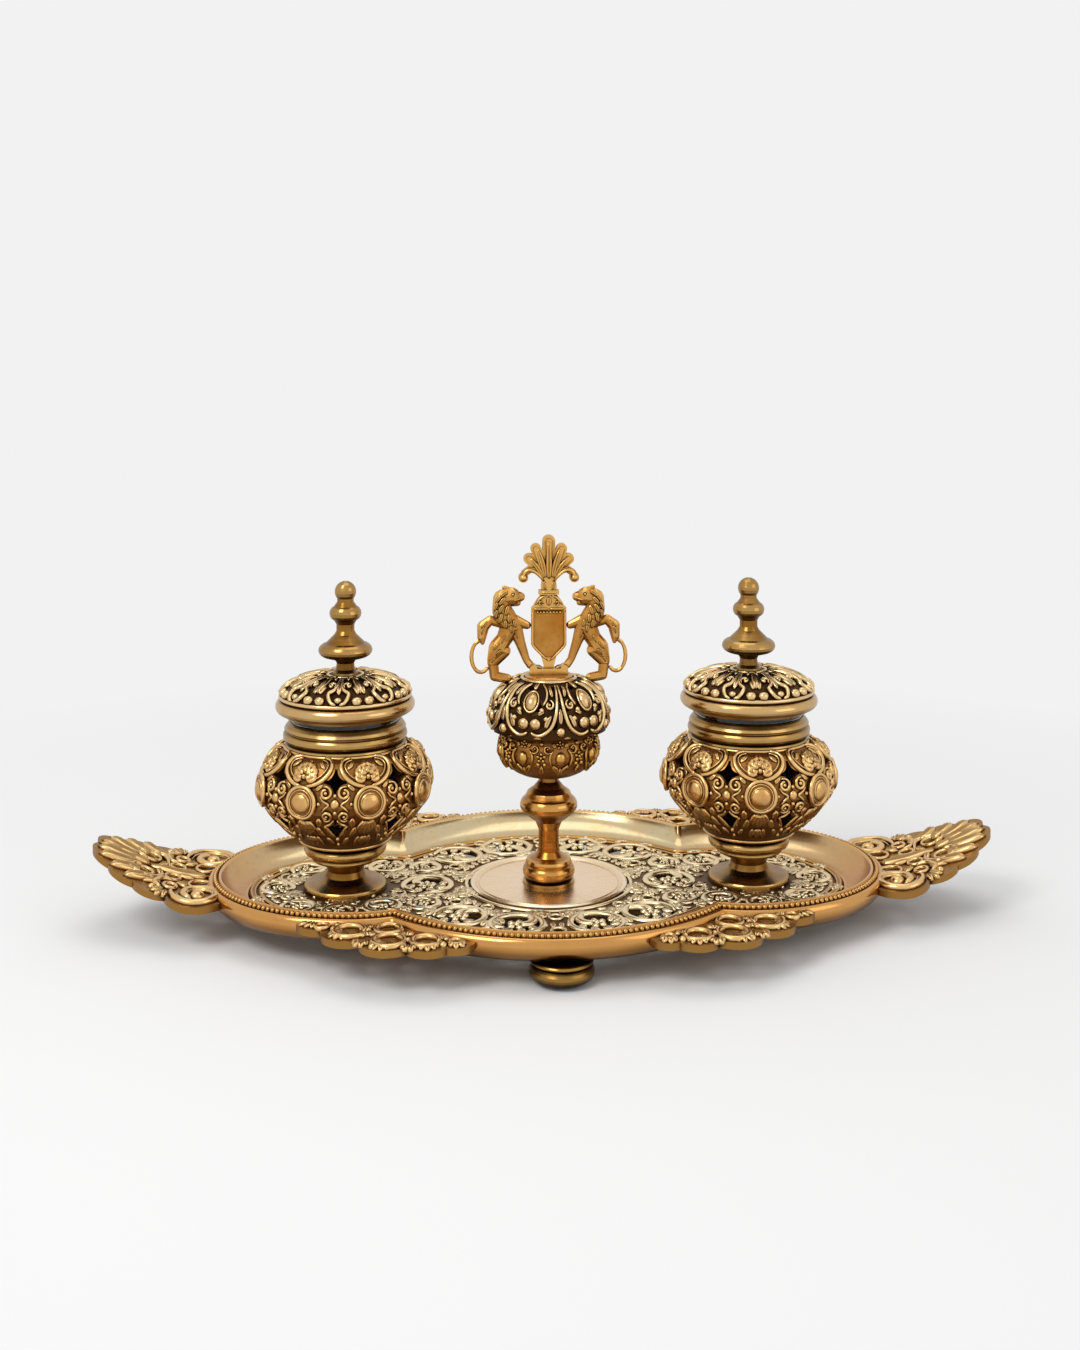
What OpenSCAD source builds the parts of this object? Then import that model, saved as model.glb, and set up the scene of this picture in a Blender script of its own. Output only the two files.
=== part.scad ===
// Desk inkstand: a three lobed footed tray that carries two lidded inkpots
// and, on a turned stem between them, a small cup under an openwork cover with a crest.
// Millimetres. Z is up, X runs along the tray and the front faces -Y.

/* [Tray] */
// Height of the tray floor above the table
floor_z = 12; // [9:0.5:20]
// Thickness of the tray floor
floor_t = 2; // [1.5:0.1:3]
// Height of the rim's top edge above the floor
rim_h = 7.9; // [6:0.1:12]
// Depth of the middle lobe, from the centre to the rim's top edge
centre_reach = 74.7; // [70:0.1:80]
// Half the distance between the left and right cusps
cusp_x = 60; // [57:0.5:63]
// Distance of the cusps in front of and behind the centre
cusp_y = 47.5; // [45:0.5:49]
// Half the depth of a side lobe
side_bulge = 50.5; // [50:0.1:54]
// Distance from the centre to the deepest place of a side lobe
side_mid = 74; // [72:0.5:78]
// Distance from the centre to the end of the rim's top edge
side_reach = 130.5; // [126:0.5:140]
// Width of the cove at the middle of the front
cove_w = 13.7; // [10:0.1:16]
// Width of the cove at the ends of the tray
cove_end_w = 11; // [9:0.1:14]
// Width of the cove beside the inkpots
cove_side_w = 12; // [10:0.1:14]
// How far the lip stands out past the top edge
lip_out = 5.4; // [4.5:0.1:7]
// Width of the raised moulding round the floor
moulding_w = 2.4; // [1.5:0.1:3]
// Height of the raised moulding round the floor
moulding_h = 0.9; // [0.5:0.1:1.5]

/* [Wings and brackets] */
// Distance from the centre to the tip of a wing
wing_tip_x = 180; // [175:0.5:186]
// Thickness of a wing
wing_t = 2.6; // [2:0.1:2.6]
// How far the tip of a wing curls up above its root
wing_rise = 16; // [8:0.5:24]
// Depth of the fretted brackets between the lobes
bracket_t = 2.6; // [2:0.1:2.6]

/* [Feet] */
// Radius of a bun foot
foot_r = 11.9; // [9:0.1:14]
// Radius of the neck of a foot
foot_neck_r = 5.4; // [4.5:0.1:7]
// Distance of the front and back feet from the centre
foot_y = 69; // [67.5:0.1:71]

/* [Inkpots] */
// Distance of each inkpot from the centre of the tray
pot_x = 81.6; // [79:0.1:84]
// Radius of the round base of a pot
pot_base_r = 16.4; // [14:0.1:18]
// Radius of the neck under a pot
pot_neck_r = 7.2; // [5.5:0.1:9]
// Height from the tray floor to the underside of the pierced body
pot_stand_h = 20; // [18:0.5:24]
// Largest radius of the pierced body
body_r = 33.6; // [31:0.1:36]
// Radius of the pierced body at its foot
body_foot_r = 17; // [16:0.1:19]
// Radius of the pierced body at its mouth
body_top_r = 23; // [22.6:0.1:25]
// Height of the pierced body
body_h = 37.5; // [35:0.5:42]
// Thickness of the pierced body
body_wall = 1.8; // [1.4:0.1:2.2]
// Radius of the collar
collar_r = 24.7; // [24:0.1:27]
// Height of the collar
collar_h = 10.2; // [9:0.1:13]
// Outside radius of the glass liner
liner_r = 20; // [18.5:0.1:20.5]
// Wall of the glass liner
liner_wall = 2; // [1.5:0.1:2.5]
// Outside length of the glass liner below its flange
liner_depth = 39; // [34:0.5:40]
// Number of round bosses round a pot
boss_count = 8; // [6:1:10]

/* [Lids] */
// Outside radius of a lid
lid_r = 27.8; // [26.5:0.1:29]
// Height of a lid's rim
lid_rim_h = 7.2; // [6:0.1:9]
// Height of a lid's dome above its rim
dome_h = 8.4; // [6:0.1:11]
// Thickness of a lid's dome
dome_t = 1.5; // [1.2:0.1:2]
// Radius of the lower knop of a finial
knop_r = 10.8; // [8:0.1:13]
// Radius of the upper knop of a finial
bud_r = 6.4; // [4.8:0.1:8]
// Radius of the ball on a finial
ball_r = 4.3; // [3:0.1:5]
// Height of a finial above its lid
finial_h = 37.3; // [32:0.1:42]
// Height that a lid or liner is lifted to clear its pot
lift = 45; // [42:1:60]

/* [Centre] */
// Radius of the round plate under the stem
medallion_r = 31.5; // [28:0.1:33]
// Radius of the foot of the stem
stem_base_r = 10.5; // [9:0.1:13]
// Radius of the stem
stem_r = 4.1; // [3.5:0.1:5]
// Radius of the knop on the stem
stem_knop_r = 11.6; // [9:0.1:14]
// Height of the cup's foot above the tray floor
stem_h = 44; // [42:0.5:48]
// Largest radius of the cup
cup_r = 19.8; // [18.5:0.1:21]
// Height of the cup
cup_h = 19; // [17:0.5:22]
// Wall of the cup
cup_wall = 1.6; // [1.2:0.1:2]
// Largest radius of the openwork cover
cover_r = 23.6; // [22.8:0.1:26]
// Height of the openwork cover
cover_h = 18.6; // [16:0.1:22]
// Thickness of the openwork cover
cover_t = 1.5; // [1.2:0.1:2]
// Number of repeats in the openwork cover
cover_repeats = 12; // [8:1:14]

/* [Crest] */
// Half the width of the shield
shield_half_w = 7.1; // [6:0.1:7.6]
// Height of the shield from its point to its top
shield_h = 22.7; // [20:0.1:25]
// Thickness of the shield
shield_t = 2.4; // [1.8:0.1:3]
// Height of the palmette above the shield
palmette_h = 24; // [20:0.1:28]
// Half the width of the palmette
palmette_half_w = 12.3; // [10:0.1:14]
// Height of the lions above the cap
lion_h = 35; // [30:0.1:40]
// Fullness of the lions, front to back
lion_depth = 0.75; // [0.5:0.05:0.9]

/* [Fasteners and fits] */
// Radius of the studs that hold the pots and the side feet
stud_r = 2; // [1.6:0.1:2.5]
// Radius of the rod through the stem
rod_r = 1.6; // [1.2:0.1:2]
// Radial clearance of a rod or stud in its hole
fit_gap = 0.05; // [0.02:0.01:0.1]
// Gap between a lifted piece and its seat
rest_gap = 0.2; // [0.1:0.05:0.3]
// Radial clearance of the pieces that lift out
slide_gap = 0.35; // [0.3:0.05:0.5]

/* [Hidden] */

// Facets of the swept rim: points along a quarter of each arc
n_centre = 10;
n_cusp = 3;
n_side = 12;
$fn = 64;

// The trefoil outline is six numbers:
// [middle reach, cusp x, cusp y, side bulge, side middle, side reach]
top_line = [centre_reach, cusp_x, cusp_y, side_bulge, side_mid, side_reach];
cusp_in = [1.8, 11.1];
side_mid_in = 2;
floor_line = [
    centre_reach - cove_w, cusp_x - cusp_in[0], cusp_y - cusp_in[1],
    side_bulge - cove_side_w, side_mid + side_mid_in, side_reach - cove_end_w
];

// Radius of the circle through the front of the middle lobe and both its cusps
function arc_r(o) = (o[1] * o[1] + pow(o[0] - o[2], 2)) / (2 * (o[0] - o[2]));
// Half length of the ellipse that leads from the side lobe's deepest place to the cusp
function cusp_half(o) = (o[4] - o[1]) / sqrt(1 - pow(o[2] / o[3], 2));
function unit(v) = v / norm(v);
// How far the cusp moves when both arcs that meet there move out by one
function cusp_step(o) =
    let (
        n1 = unit([o[1], o[2] - o[0] + arc_r(o)]),
        n2 = unit([(o[1] - o[4]) / pow(cusp_half(o), 2), o[2] / pow(o[3], 2)]),
        d = n1[0] * n2[1] - n1[1] * n2[0]
    ) [(n2[1] - n1[1]) / d, (n1[0] - n2[0]) / d];
// The outline moved out by d all round
function grown(o, d) =
    let (k = cusp_step(o))
    [o[0] + d, o[1] + k[0] * d, o[2] + k[1] * d, o[3] + d, o[4], o[5] + d];
function mix(a, b, t) = a + (b - a) * t;
// Points of one quarter, from the middle of the lobe to the end of the tray
function quarter(o) =
    let (
        r = arc_r(o),
        a1 = atan2(o[2] - o[0] + r, o[1]),
        p = cusp_half(o),
        b1 = 180 - asin(o[2] / o[3])
    )
    concat(
        [
            for (i = [0:n_centre - 1])
                let (a = mix(90, a1, i / n_centre))
                [r * cos(a), o[0] - r + r * sin(a)]
        ],
        [
            for (i = [0:n_cusp - 1])
                let (b = mix(b1, 90, i / n_cusp))
                [o[4] + p * cos(b), o[3] * sin(b)]
        ],
        [
            for (i = [0:n_side])
                let (b = mix(90, 0, i / n_side))
                [o[4] + (o[5] - o[4]) * cos(b), o[3] * sin(b)]
        ]
    );
function outline(o) =
    let (q = quarter(o), n = len(q))
    concat(
        q,
        [for (i = [n - 2:-1:0]) [q[i][0], -q[i][1]]],
        [for (i = [1:n - 1]) [-q[i][0], -q[i][1]]],
        [for (i = [n - 2:-1:1]) [-q[i][0], q[i][1]]]
    );

// A closed ring swept round the tray: each station is [outline, height]
module sweep(stations) {
    loops = [for (s = stations) [for (p = outline(s[0])) [p[0], p[1], s[1]]]];
    n = len(loops[0]);
    m = len(loops);
    polyhedron(
        points = [for (l = loops) for (p = l) p],
        faces = [
            for (i = [0:m - 1]) for (j = [0:n - 1])
                let (k = (i + 1) % m, l = (j + 1) % n)
                [i * n + j, k * n + j, k * n + l, i * n + l]
        ],
        convexity = 10
    );
}

// Heights and reaches of the rim's section, outside the top edge
under_z = floor_z - floor_t;
edge_z = floor_z + rim_h;
edge_w = 0.7;
ledge_in = [1, -0.6];
ledge_out = [3.2, -1.4];
band_top = -1.7;
band_low = 2;
band_turn = floor_z + band_low + wing_t;
cove_angle = 72;
cove_steps = 6;

module tray_rim() {
    color("goldenrod")
    sweep(concat(
        [[floor_line, under_z]],
        [
            for (i = [0:cove_steps])
                let (a = cove_angle * i / cove_steps)
                [
                    mix(floor_line, top_line, sin(a) / sin(cove_angle)),
                    floor_z + rim_h * (1 - cos(a)) / (1 - cos(cove_angle))
                ]
        ],
        [
            [grown(top_line, edge_w), edge_z],
            [grown(top_line, ledge_in[0]), edge_z + ledge_in[1]],
            [grown(top_line, ledge_out[0]), edge_z + ledge_out[1]],
            [grown(top_line, lip_out - 0.9), edge_z + band_top],
            [grown(top_line, lip_out - 0.2), mix(edge_z + band_top, band_turn, 0.6)],
            [grown(top_line, lip_out), band_turn],
            [grown(top_line, lip_out), floor_z + band_low],
            [grown(top_line, lip_out - 1.2), floor_z + 0.4],
            [grown(top_line, lip_out - 3.4), under_z]
        ]
    ));
}

// The beaded wire lies on the ledge just outside the top edge
bead_stand = 1;
bead_gap = 0.05;
module rim_beading() {
    seat_in = edge_z + ledge_in[1] + bead_gap;
    seat_out = edge_z + ledge_out[1] + bead_gap;
    color("gold")
    sweep([
        [grown(top_line, ledge_in[0]), seat_in],
        [grown(top_line, ledge_in[0] + 0.4), seat_in + 0.7 * bead_stand],
        [grown(top_line, mix(ledge_in[0], ledge_out[0], 0.5)), seat_in + 0.8 * bead_stand],
        [grown(top_line, ledge_out[0] - 0.2), seat_out + 0.8 * bead_stand],
        [grown(top_line, ledge_out[0]), seat_out]
    ]);
}

// Scroll piercings of the floor, [x, y, radius, start angle, turning way], one quarter of them
fret_scrolls = [
    [15, 46, 11, 250, 1], [36.5, 36, 10.8, 200, -1], [50, 21.5, 6.6, 120, 1],
    [66, 23.4, 7.6, 300, -1], [82.3, 28, 7, 180, 1], [98.4, 22.2, 7.2, 150, -1]
];
axis_scrolls = [[49, 0, 10.5, 90, 1], [108.4, 0, 7, 90, -1]];
scroll_band = 1.6;
fret_drops = [
    [0, 53.5, 2.2], [0, 39.5, 2], [25.5, 27.5, 1.7], [26.3, 51.5, 1.9], [37, 21, 2.4],
    [60, 9.5, 2], [74.2, 33, 1.3], [90.3, 31.6, 1.3], [103.6, 11.6, 1.5], [57.2, 30.3, 1.2]
];

// A round opening with a curled leaf left standing in it
module scroll_hole(r, start, way) {
    hole_r = r - scroll_band;
    leaf_r = 0.62 * hole_r;
    difference() {
        circle(r = hole_r);
        circle(r = 0.3 * hole_r);
        rotate(start)
            translate([0.5 * hole_r, 0])
                difference() {
                    circle(r = leaf_r);
                    translate([0, way * 0.4 * leaf_r])
                        circle(r = 0.95 * leaf_r);
                }
    }
}

module floor_fret() {
    color("burlywood")
    translate([0, 0, under_z])
    linear_extrude(floor_t)
    difference() {
        polygon(outline(floor_line));
        circle(r = rod_r + fit_gap);
        for (x = [-pot_x, pot_x])
            translate([x, 0])
                circle(r = stud_r + fit_gap);
        for (sx = [0, 1])
            for (sy = [0, 1])
                mirror([sx, 0])
                    mirror([0, sy]) {
                        for (s = fret_scrolls)
                            translate([s[0], s[1]])
                                scroll_hole(s[2], s[3], s[4]);
                        for (d = fret_drops)
                            if (d[0] > 0 || sx == 0)
                                translate([d[0], d[1]])
                                    circle(r = d[2]);
                    }
        for (sx = [0, 1])
            mirror([sx, 0])
                for (s = axis_scrolls)
                    translate([s[0], s[1]])
                        scroll_hole(s[2], s[3], s[4]);
    }
}

module floor_moulding() {
    color("goldenrod")
    translate([0, 0, floor_z])
    linear_extrude(moulding_h)
    difference() {
        polygon(outline(grown(floor_line, -0.4)));
        polygon(outline(grown(floor_line, -0.4 - moulding_w)));
    }
}

// Plain round plate under the stem, with a raised ring
plate_t = 0.8;
module medallion() {
    color("wheat")
    rotate_extrude()
    polygon([
        [rod_r + fit_gap, floor_z], [medallion_r, floor_z], [medallion_r, floor_z + plate_t + 0.3],
        [medallion_r - 0.7, floor_z + plate_t + 0.8], [medallion_r - 1.6, floor_z + plate_t + 0.5],
        [medallion_r - 2.4, floor_z + plate_t], [rod_r + fit_gap, floor_z + plate_t]
    ]);
}

// The wing's section rises outwards, from the rim's band to its tip
wing_root_x = side_reach + lip_out;
wing_run = wing_tip_x - wing_root_x;
wing_low = floor_z + band_low;
function wing_z(x) = wing_low + wing_rise * pow(max(0, (x - wing_root_x) / wing_run), 1.6);
wing_steps = 9;
wing_inner_x = wing_root_x - 14;
// Lobes of the wing's shell, [share of the run that the lobe reaches, y, radius]
wing_lobes = [[1, 4.5, 9.5], [0.83, 12, 9.5], [0.603, 17.5, 8.5], [0.308, 21, 12.5]];
// Round piercings, [share of the run at the middle, y, radius]
wing_holes = [[0.546, 8.5, 2.8], [0.297, 6, 2.2], [0.286, 15.5, 1.8], [0.048, 9.5, 3.4], [0.762, 4.2, 1.3]];
// Right half of the web that joins the lobes, [share of the run, y]
wing_web = [[0.184, 16], [0.773, 10]];
web_root_y = 30;
volute_r = 7.5;
volute_shift = [2.6, 2.4];
volute_wall = 1.2;
function wing_x(share) = mix(wing_root_x, wing_tip_x, share);
function lobe_x(w) = wing_x(w[0]) - w[2];
volute = wing_lobes[3];

module wing() {
    intersection() {
        rotate([90, 0, 0])
            linear_extrude(2 * side_bulge, center = true)
                polygon(concat(
                    [[wing_inner_x, wing_low]],
                    [
                        for (i = [0:wing_steps])
                            let (x = mix(wing_root_x, wing_tip_x, i / wing_steps))
                            [x, wing_z(x)]
                    ],
                    [
                        for (i = [wing_steps:-1:0])
                            let (x = mix(wing_root_x, wing_tip_x, i / wing_steps))
                            [x, wing_z(x) + wing_t]
                    ],
                    [[wing_inner_x, wing_low + wing_t]]
                ));
        translate([0, 0, floor_z])
            linear_extrude(wing_rise + 2 * rim_h)
                difference() {
                    union() {
                        for (s = [-1, 1])
                            for (w = wing_lobes)
                                translate([lobe_x(w), s * w[1]])
                                    circle(r = w[2]);
                        polygon(concat(
                            [[wing_inner_x, -web_root_y]],
                            [for (w = wing_web) [wing_x(w[0]), -w[1]]],
                            [for (i = [1, 0]) [wing_x(wing_web[i][0]), wing_web[i][1]]],
                            [[wing_inner_x, web_root_y]]
                        ));
                    }
                    polygon(outline(grown(top_line, lip_out)));
                    for (s = [-1, 1]) {
                        for (w = wing_holes)
                            translate([wing_x(w[0]), s * w[1]])
                                circle(r = w[2]);
                        translate([lobe_x(volute), s * volute[1]])
                            difference() {
                                circle(r = volute_r);
                                translate([-volute_shift[0], -s * volute_shift[1]])
                                    circle(r = volute_r - volute_wall);
                            }
                    }
                }
    }
}
module right_wing() {
    color("darkgoldenrod")
    wing();
}
module left_wing() {
    color("darkgoldenrod")
    mirror([1, 0, 0])
        wing();
}

// Fretted brackets that fill the notch outside each cusp: [x, y, radius] from the cusp
bracket_lobes = [[-22, 25.5, 7], [-12, 26.5, 8.5], [2.5, 23, 10.2], [16.5, 13.5, 10.2], [28, 3, 8.4]];
// Full round pieces between the lobes and the tray
bracket_fill = [[-7, 18.5, 7.5], [1, 13.5, 11]];
bracket_holes = [
    [-22, 27.5, 1.6], [-11.5, 26.5, 3], [1.5, 25.5, 3.6], [2, 14.4, 2.6], [16, 15, 3.5], [26.5, 9, 1.6]
];
module bracket() {
    translate([0, 0, floor_z + band_low])
        linear_extrude(bracket_t)
            difference() {
                union()
                    for (b = concat(bracket_lobes, bracket_fill))
                        translate([cusp_x + b[0], cusp_y + b[1]])
                            circle(r = b[2]);
                polygon(outline(grown(top_line, lip_out)));
                for (b = bracket_holes)
                    translate([cusp_x + b[0], cusp_y + b[1]])
                        circle(r = b[2]);
            }
}
module back_right_bracket() {
    color("darkgoldenrod")
    bracket();
}
module back_left_bracket() {
    color("darkgoldenrod")
    mirror([1, 0, 0])
        bracket();
}
module front_right_bracket() {
    color("darkgoldenrod")
    mirror([0, 1, 0])
        bracket();
}
module front_left_bracket() {
    color("darkgoldenrod")
    mirror([1, 0, 0])
        mirror([0, 1, 0])
            bracket();
}

// Points of an arc in a turned section
function arc(r, z, rr, rz, a0, a1, n) =
    [for (i = [0:n]) let (a = mix(a0, a1, i / n)) [r + rr * cos(a), z + rz * sin(a)]];

// Turned bun foot with a flared ring above it
foot_base_r = 6;
foot_ring_z = 7.1;
module foot(hole) {
    color("peru")
    rotate_extrude()
    polygon(concat(
        [[0, hole ? under_z - stud_sink : 0], [0, 0], [foot_base_r, 0]],
        arc(foot_r - 4.6, 4.1, 4.6, 3.4, -62, 62, 8),
        [[foot_r - 2.6, foot_ring_z]],
        arc(foot_r - 1.5, foot_ring_z + 0.8, 1.1, 0.8, -80, 80, 5),
        [[foot_neck_r + 0.6, foot_ring_z + 1.7], [foot_neck_r, foot_ring_z + 2.1], [foot_neck_r, under_z]],
        hole ? [[stud_r + fit_gap, under_z], [stud_r + fit_gap, under_z - stud_sink]] : [[0, under_z]]
    ));
}
stud_sink = 6;
module front_foot() {
    translate([0, -foot_y, 0])
        foot(false);
}
module back_foot() {
    translate([0, foot_y, 0])
        foot(false);
}
module left_foot() {
    translate([-pot_x, 0, 0])
        foot(true);
}
module right_foot() {
    translate([pot_x, 0, 0])
        foot(true);
}

// Heights of an inkpot
body_z = floor_z + pot_stand_h;
collar_z = body_z + body_h;
mouth_z = collar_z + collar_h;
mouth_r = liner_r + slide_gap;
body_floor_t = 2;

module pot_stud() {
    color("dimgray")
    translate([0, 0, under_z - stud_sink])
        cylinder(r = stud_r, h = body_z + body_floor_t - under_z + stud_sink);
}

// Turned stand: round base, neck and a reeded ring that carries the body
stand_ring_z = body_z - 7;
module pot_stand() {
    color("saddlebrown")
    rotate_extrude()
    polygon(concat(
        [[stud_r + fit_gap, floor_z], [pot_base_r, floor_z]],
        arc(pot_base_r - 1.4, floor_z + 1.4, 1.4, 1.4, 0, 90, 4),
        [[pot_neck_r + 3.4, floor_z + 3.6], [pot_neck_r + 0.8, floor_z + 5.2]],
        [[pot_neck_r, floor_z + 7.5], [pot_neck_r + 1.2, stand_ring_z - 1.6]],
        arc(pot_base_r - 4.4, stand_ring_z, 1.5, 1.4, -80, 60, 4),
        arc(pot_base_r - 2, stand_ring_z + 3.4, 2, 2.2, -70, 70, 6),
        [[pot_base_r - 0.6, body_z - 0.6], [pot_base_r - 0.6, body_z], [stud_r + fit_gap, body_z]]
    ));
}

// Outside of the body: a bowl below the widest place and a full shoulder above it
belt_z = body_z + 0.56 * body_h;
function body_low(z) =
    body_foot_r + (body_r - body_foot_r) * (1 - pow(1 - (z - body_z) / (belt_z - body_z), 1.5));
function body_line(inset) = concat(
    [
        for (i = [0:7])
            let (z = mix(body_z, belt_z, i / 7))
            [body_low(z) - inset, z]
    ],
    [
        for (i = [1:8])
            let (a = 90 * i / 8)
            [
                body_top_r - inset + (body_r - body_top_r) * cos(a),
                belt_z + (collar_z - belt_z) * sin(a)
            ]
    ]
);
boss_z = belt_z + 1.8;
boss_sink = 1.8;
star_half = 4.4;
star_z = [body_z + 12, body_z + 30.4];
star_in = 8;
// Four pointed opening with hollow sides
module star(h) {
    rotate([0, 90, 0])
        linear_extrude(h)
            difference() {
                square(2 * star_half, center = true);
                for (sx = [-1, 1])
                    for (sy = [-1, 1])
                        translate([sx, sy] * star_half)
                            circle(r = 0.88 * star_half);
            }
}
module pot_body(turn) {
    outer = body_line(0);
    inner = body_line(body_wall);
    color("peru")
    rotate([0, 0, turn - 90])
        difference() {
            union() {
                rotate_extrude()
                    polygon(concat(
                        [[stud_r + fit_gap, body_z]],
                        outer,
                        [[mouth_r, collar_z], [mouth_r, collar_z - body_wall]],
                        [for (i = [len(inner) - 3:-1:1]) inner[i]],
                        [[stud_r + fit_gap, body_z + body_floor_t]]
                    ));
                for (i = [0:boss_count - 1])
                    rotate([0, 0, 360 * i / boss_count])
                        translate([body_r - boss_sink, 0, boss_z])
                            rotate([0, 90, 0]) {
                                cylinder(r = 6.2, h = boss_sink + 0.6);
                                cylinder(r = 4.6, h = boss_sink + 1);
                                cylinder(r = 3.6, h = boss_sink + 1.8);
                            }
            }
            for (i = [0:boss_count - 1])
                rotate([0, 0, 360 * (i + 0.5) / boss_count]) {
                    translate([body_low(star_z[0]) - star_in, 0, star_z[0]])
                        star(2 * star_in);
                    translate([body_top_r, 0, star_z[1]])
                        star(12);
                }
        }
}

module pot_collar() {
    color("goldenrod")
    rotate_extrude()
    polygon(concat(
        [[mouth_r, collar_z], [body_top_r, collar_z]],
        arc(body_top_r, collar_z + 1, 1, 1, -90, 80, 4),
        [[collar_r - 1.2, collar_z + 2.3]],
        arc(collar_r - 1.4, collar_z + 4.4, 1.4, 2, -70, 75, 6),
        [[collar_r - 0.9, collar_z + 6.9], [collar_r - 0.5, collar_z + 7.3], [collar_r - 1, collar_z + 8.2]],
        [[collar_r - 2, collar_z + collar_h - 0.7], [collar_r - 2.7, mouth_z], [mouth_r, mouth_z]]
    ));
}

// Straight glass cup that hangs in the collar by its flange
flange_t = 1.4;
flange_r = liner_r + 1.8;
liner_foot_t = 3;
liner_z = mouth_z + rest_gap;
module pot_liner() {
    low = liner_z - liner_depth;
    well = low + liner_foot_t;
    bore = liner_r - liner_wall;
    color("lightcyan", 0.5)
    rotate_extrude()
    polygon([
        [0, low], [liner_r - 1, low], [liner_r, low + 1],
        [liner_r, liner_z], [flange_r, liner_z], [flange_r, liner_z + flange_t],
        [bore, liner_z + flange_t], [bore, well + 1], [bore - 1, well], [0, well]
    ]);
}

// Lid: a moulded rim with a spigot, a pierced dome and a turned finial
lid_z = liner_z + flange_t + rest_gap;
spigot_r = liner_r - liner_wall - slide_gap;
spigot_h = 3;
lid_top_z = lid_z + lid_rim_h;
dome_r = lid_r - 2;
dome_top_r = 9;
dome_top_z = lid_top_z + dome_h;
finial_seat = 0.4;
finial_z = dome_top_z + finial_seat;
module lid_rim() {
    color("goldenrod")
    rotate_extrude()
    polygon(concat(
        [[spigot_r - 1.5, lid_z - spigot_h], [spigot_r, lid_z - spigot_h], [spigot_r, lid_z]],
        [[collar_r - 1.6, lid_z], [collar_r - 0.6, lid_z + 0.4], [collar_r - 0.2, lid_z + 1.3]],
        arc(lid_r - 3, lid_z + 4.1, 3, 2.8, -60, 75, 8),
        [[dome_r, lid_top_z], [dome_r - dome_t - 0.6, lid_top_z], [spigot_r - 1.5, lid_z + 1.6]]
    ));
}
function dome_line(inset) = [
    for (i = [0:6])
        let (a = 75 * i / 6, t = i / 6)
        [
            mix(dome_r, dome_top_r, (1 - cos(a)) / (1 - cos(75))) - inset * cos(45 + 40 * t),
            mix(lid_top_z, dome_top_z, sin(a) / sin(75)) - inset * sin(45 + 40 * t) * min(1, 2 * t)
        ]
];
lid_repeats = 8;
module lid_dome(turn) {
    inner = dome_line(dome_t);
    color("tan")
    rotate([0, 0, turn - 90])
        difference() {
            rotate_extrude()
                polygon(concat(
                    dome_line(0),
                    [[finial_foot_r + 0.4, finial_z], [tang_r + fit_gap, finial_z]],
                    [[tang_r + fit_gap, dome_top_z - dome_t]],
                    [for (i = [6:-1:0]) inner[i]]
                ));
            for (i = [0:lid_repeats - 1])
                rotate([0, 0, 360 * i / lid_repeats]) {
                    translate([19.8, 0, lid_top_z - 1])
                        cylinder(r = 2, h = dome_h + 3);
                    translate([14.4, 0, lid_top_z - 1])
                        cylinder(r = 1.3, h = dome_h + 3);
                    for (s = [-1, 1])
                        rotate([0, 0, s * 14])
                            translate([17, 0, lid_top_z - 1])
                                cylinder(r = 1.2, h = dome_h + 3);
                }
        }
}
tang_r = 2;
finial_neck_r = 3.6;
finial_foot_r = 5.2;
tang_h = 2;
module lid_finial() {
    z = finial_z;
    k = finial_h / 37.3;
    n = finial_neck_r;
    low = z - dome_t - tang_h;
    color("peru")
    rotate_extrude()
    polygon(concat(
        [[0, low], [tang_r, low], [tang_r, z], [finial_foot_r, z], [finial_foot_r - 0.2, z + 0.8 * k]],
        [[n + 0.2, z + 2 * k], [n - 0.1, z + 4.5 * k], [n + 0.6, z + 5.8 * k]],
        arc(knop_r - 4.5, z + 9.7 * k, 4.5, 3.1 * k, -75, 70, 8),
        [[n + 0.8, z + 16 * k], [n, z + 17.4 * k], [n, z + 20 * k]],
        arc(bud_r - 2.8, z + 24.4 * k, 2.8, 3 * k, -70, 70, 6),
        [[n - 0.3, z + 29 * k]],
        arc(0, z + finial_h - ball_r, ball_r, ball_r, -40, 90, 8)
    ));
}

module left_pot_stud() {
    translate([-pot_x, 0, 0])
        pot_stud();
}
module right_pot_stud() {
    translate([pot_x, 0, 0])
        pot_stud();
}
module left_pot_stand() {
    translate([-pot_x, 0, 0])
        pot_stand();
}
module right_pot_stand() {
    translate([pot_x, 0, 0])
        pot_stand();
}
// The bosses of the left and right pots stand at these angles to the front
left_turn = 19.3;
right_turn = -3.4;
module left_pot_body() {
    translate([-pot_x, 0, 0])
        pot_body(left_turn);
}
module right_pot_body() {
    translate([pot_x, 0, 0])
        pot_body(right_turn);
}
module left_pot_collar() {
    translate([-pot_x, 0, 0])
        pot_collar();
}
module right_pot_collar() {
    translate([pot_x, 0, 0])
        pot_collar();
}
module left_pot_liner() {
    translate([-pot_x, 0, 0])
        pot_liner();
}
module right_pot_liner() {
    translate([pot_x, 0, 0])
        pot_liner();
}
module left_lid_rim() {
    translate([-pot_x, 0, 0])
        lid_rim();
}
module right_lid_rim() {
    translate([pot_x, 0, 0])
        lid_rim();
}
module left_lid_dome() {
    translate([-pot_x, 0, 0])
        lid_dome(left_turn);
}
module right_lid_dome() {
    translate([pot_x, 0, 0])
        lid_dome(right_turn);
}
module left_lid_finial() {
    translate([-pot_x, 0, 0])
        lid_finial();
}
module right_lid_finial() {
    translate([pot_x, 0, 0])
        lid_finial();
}

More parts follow.
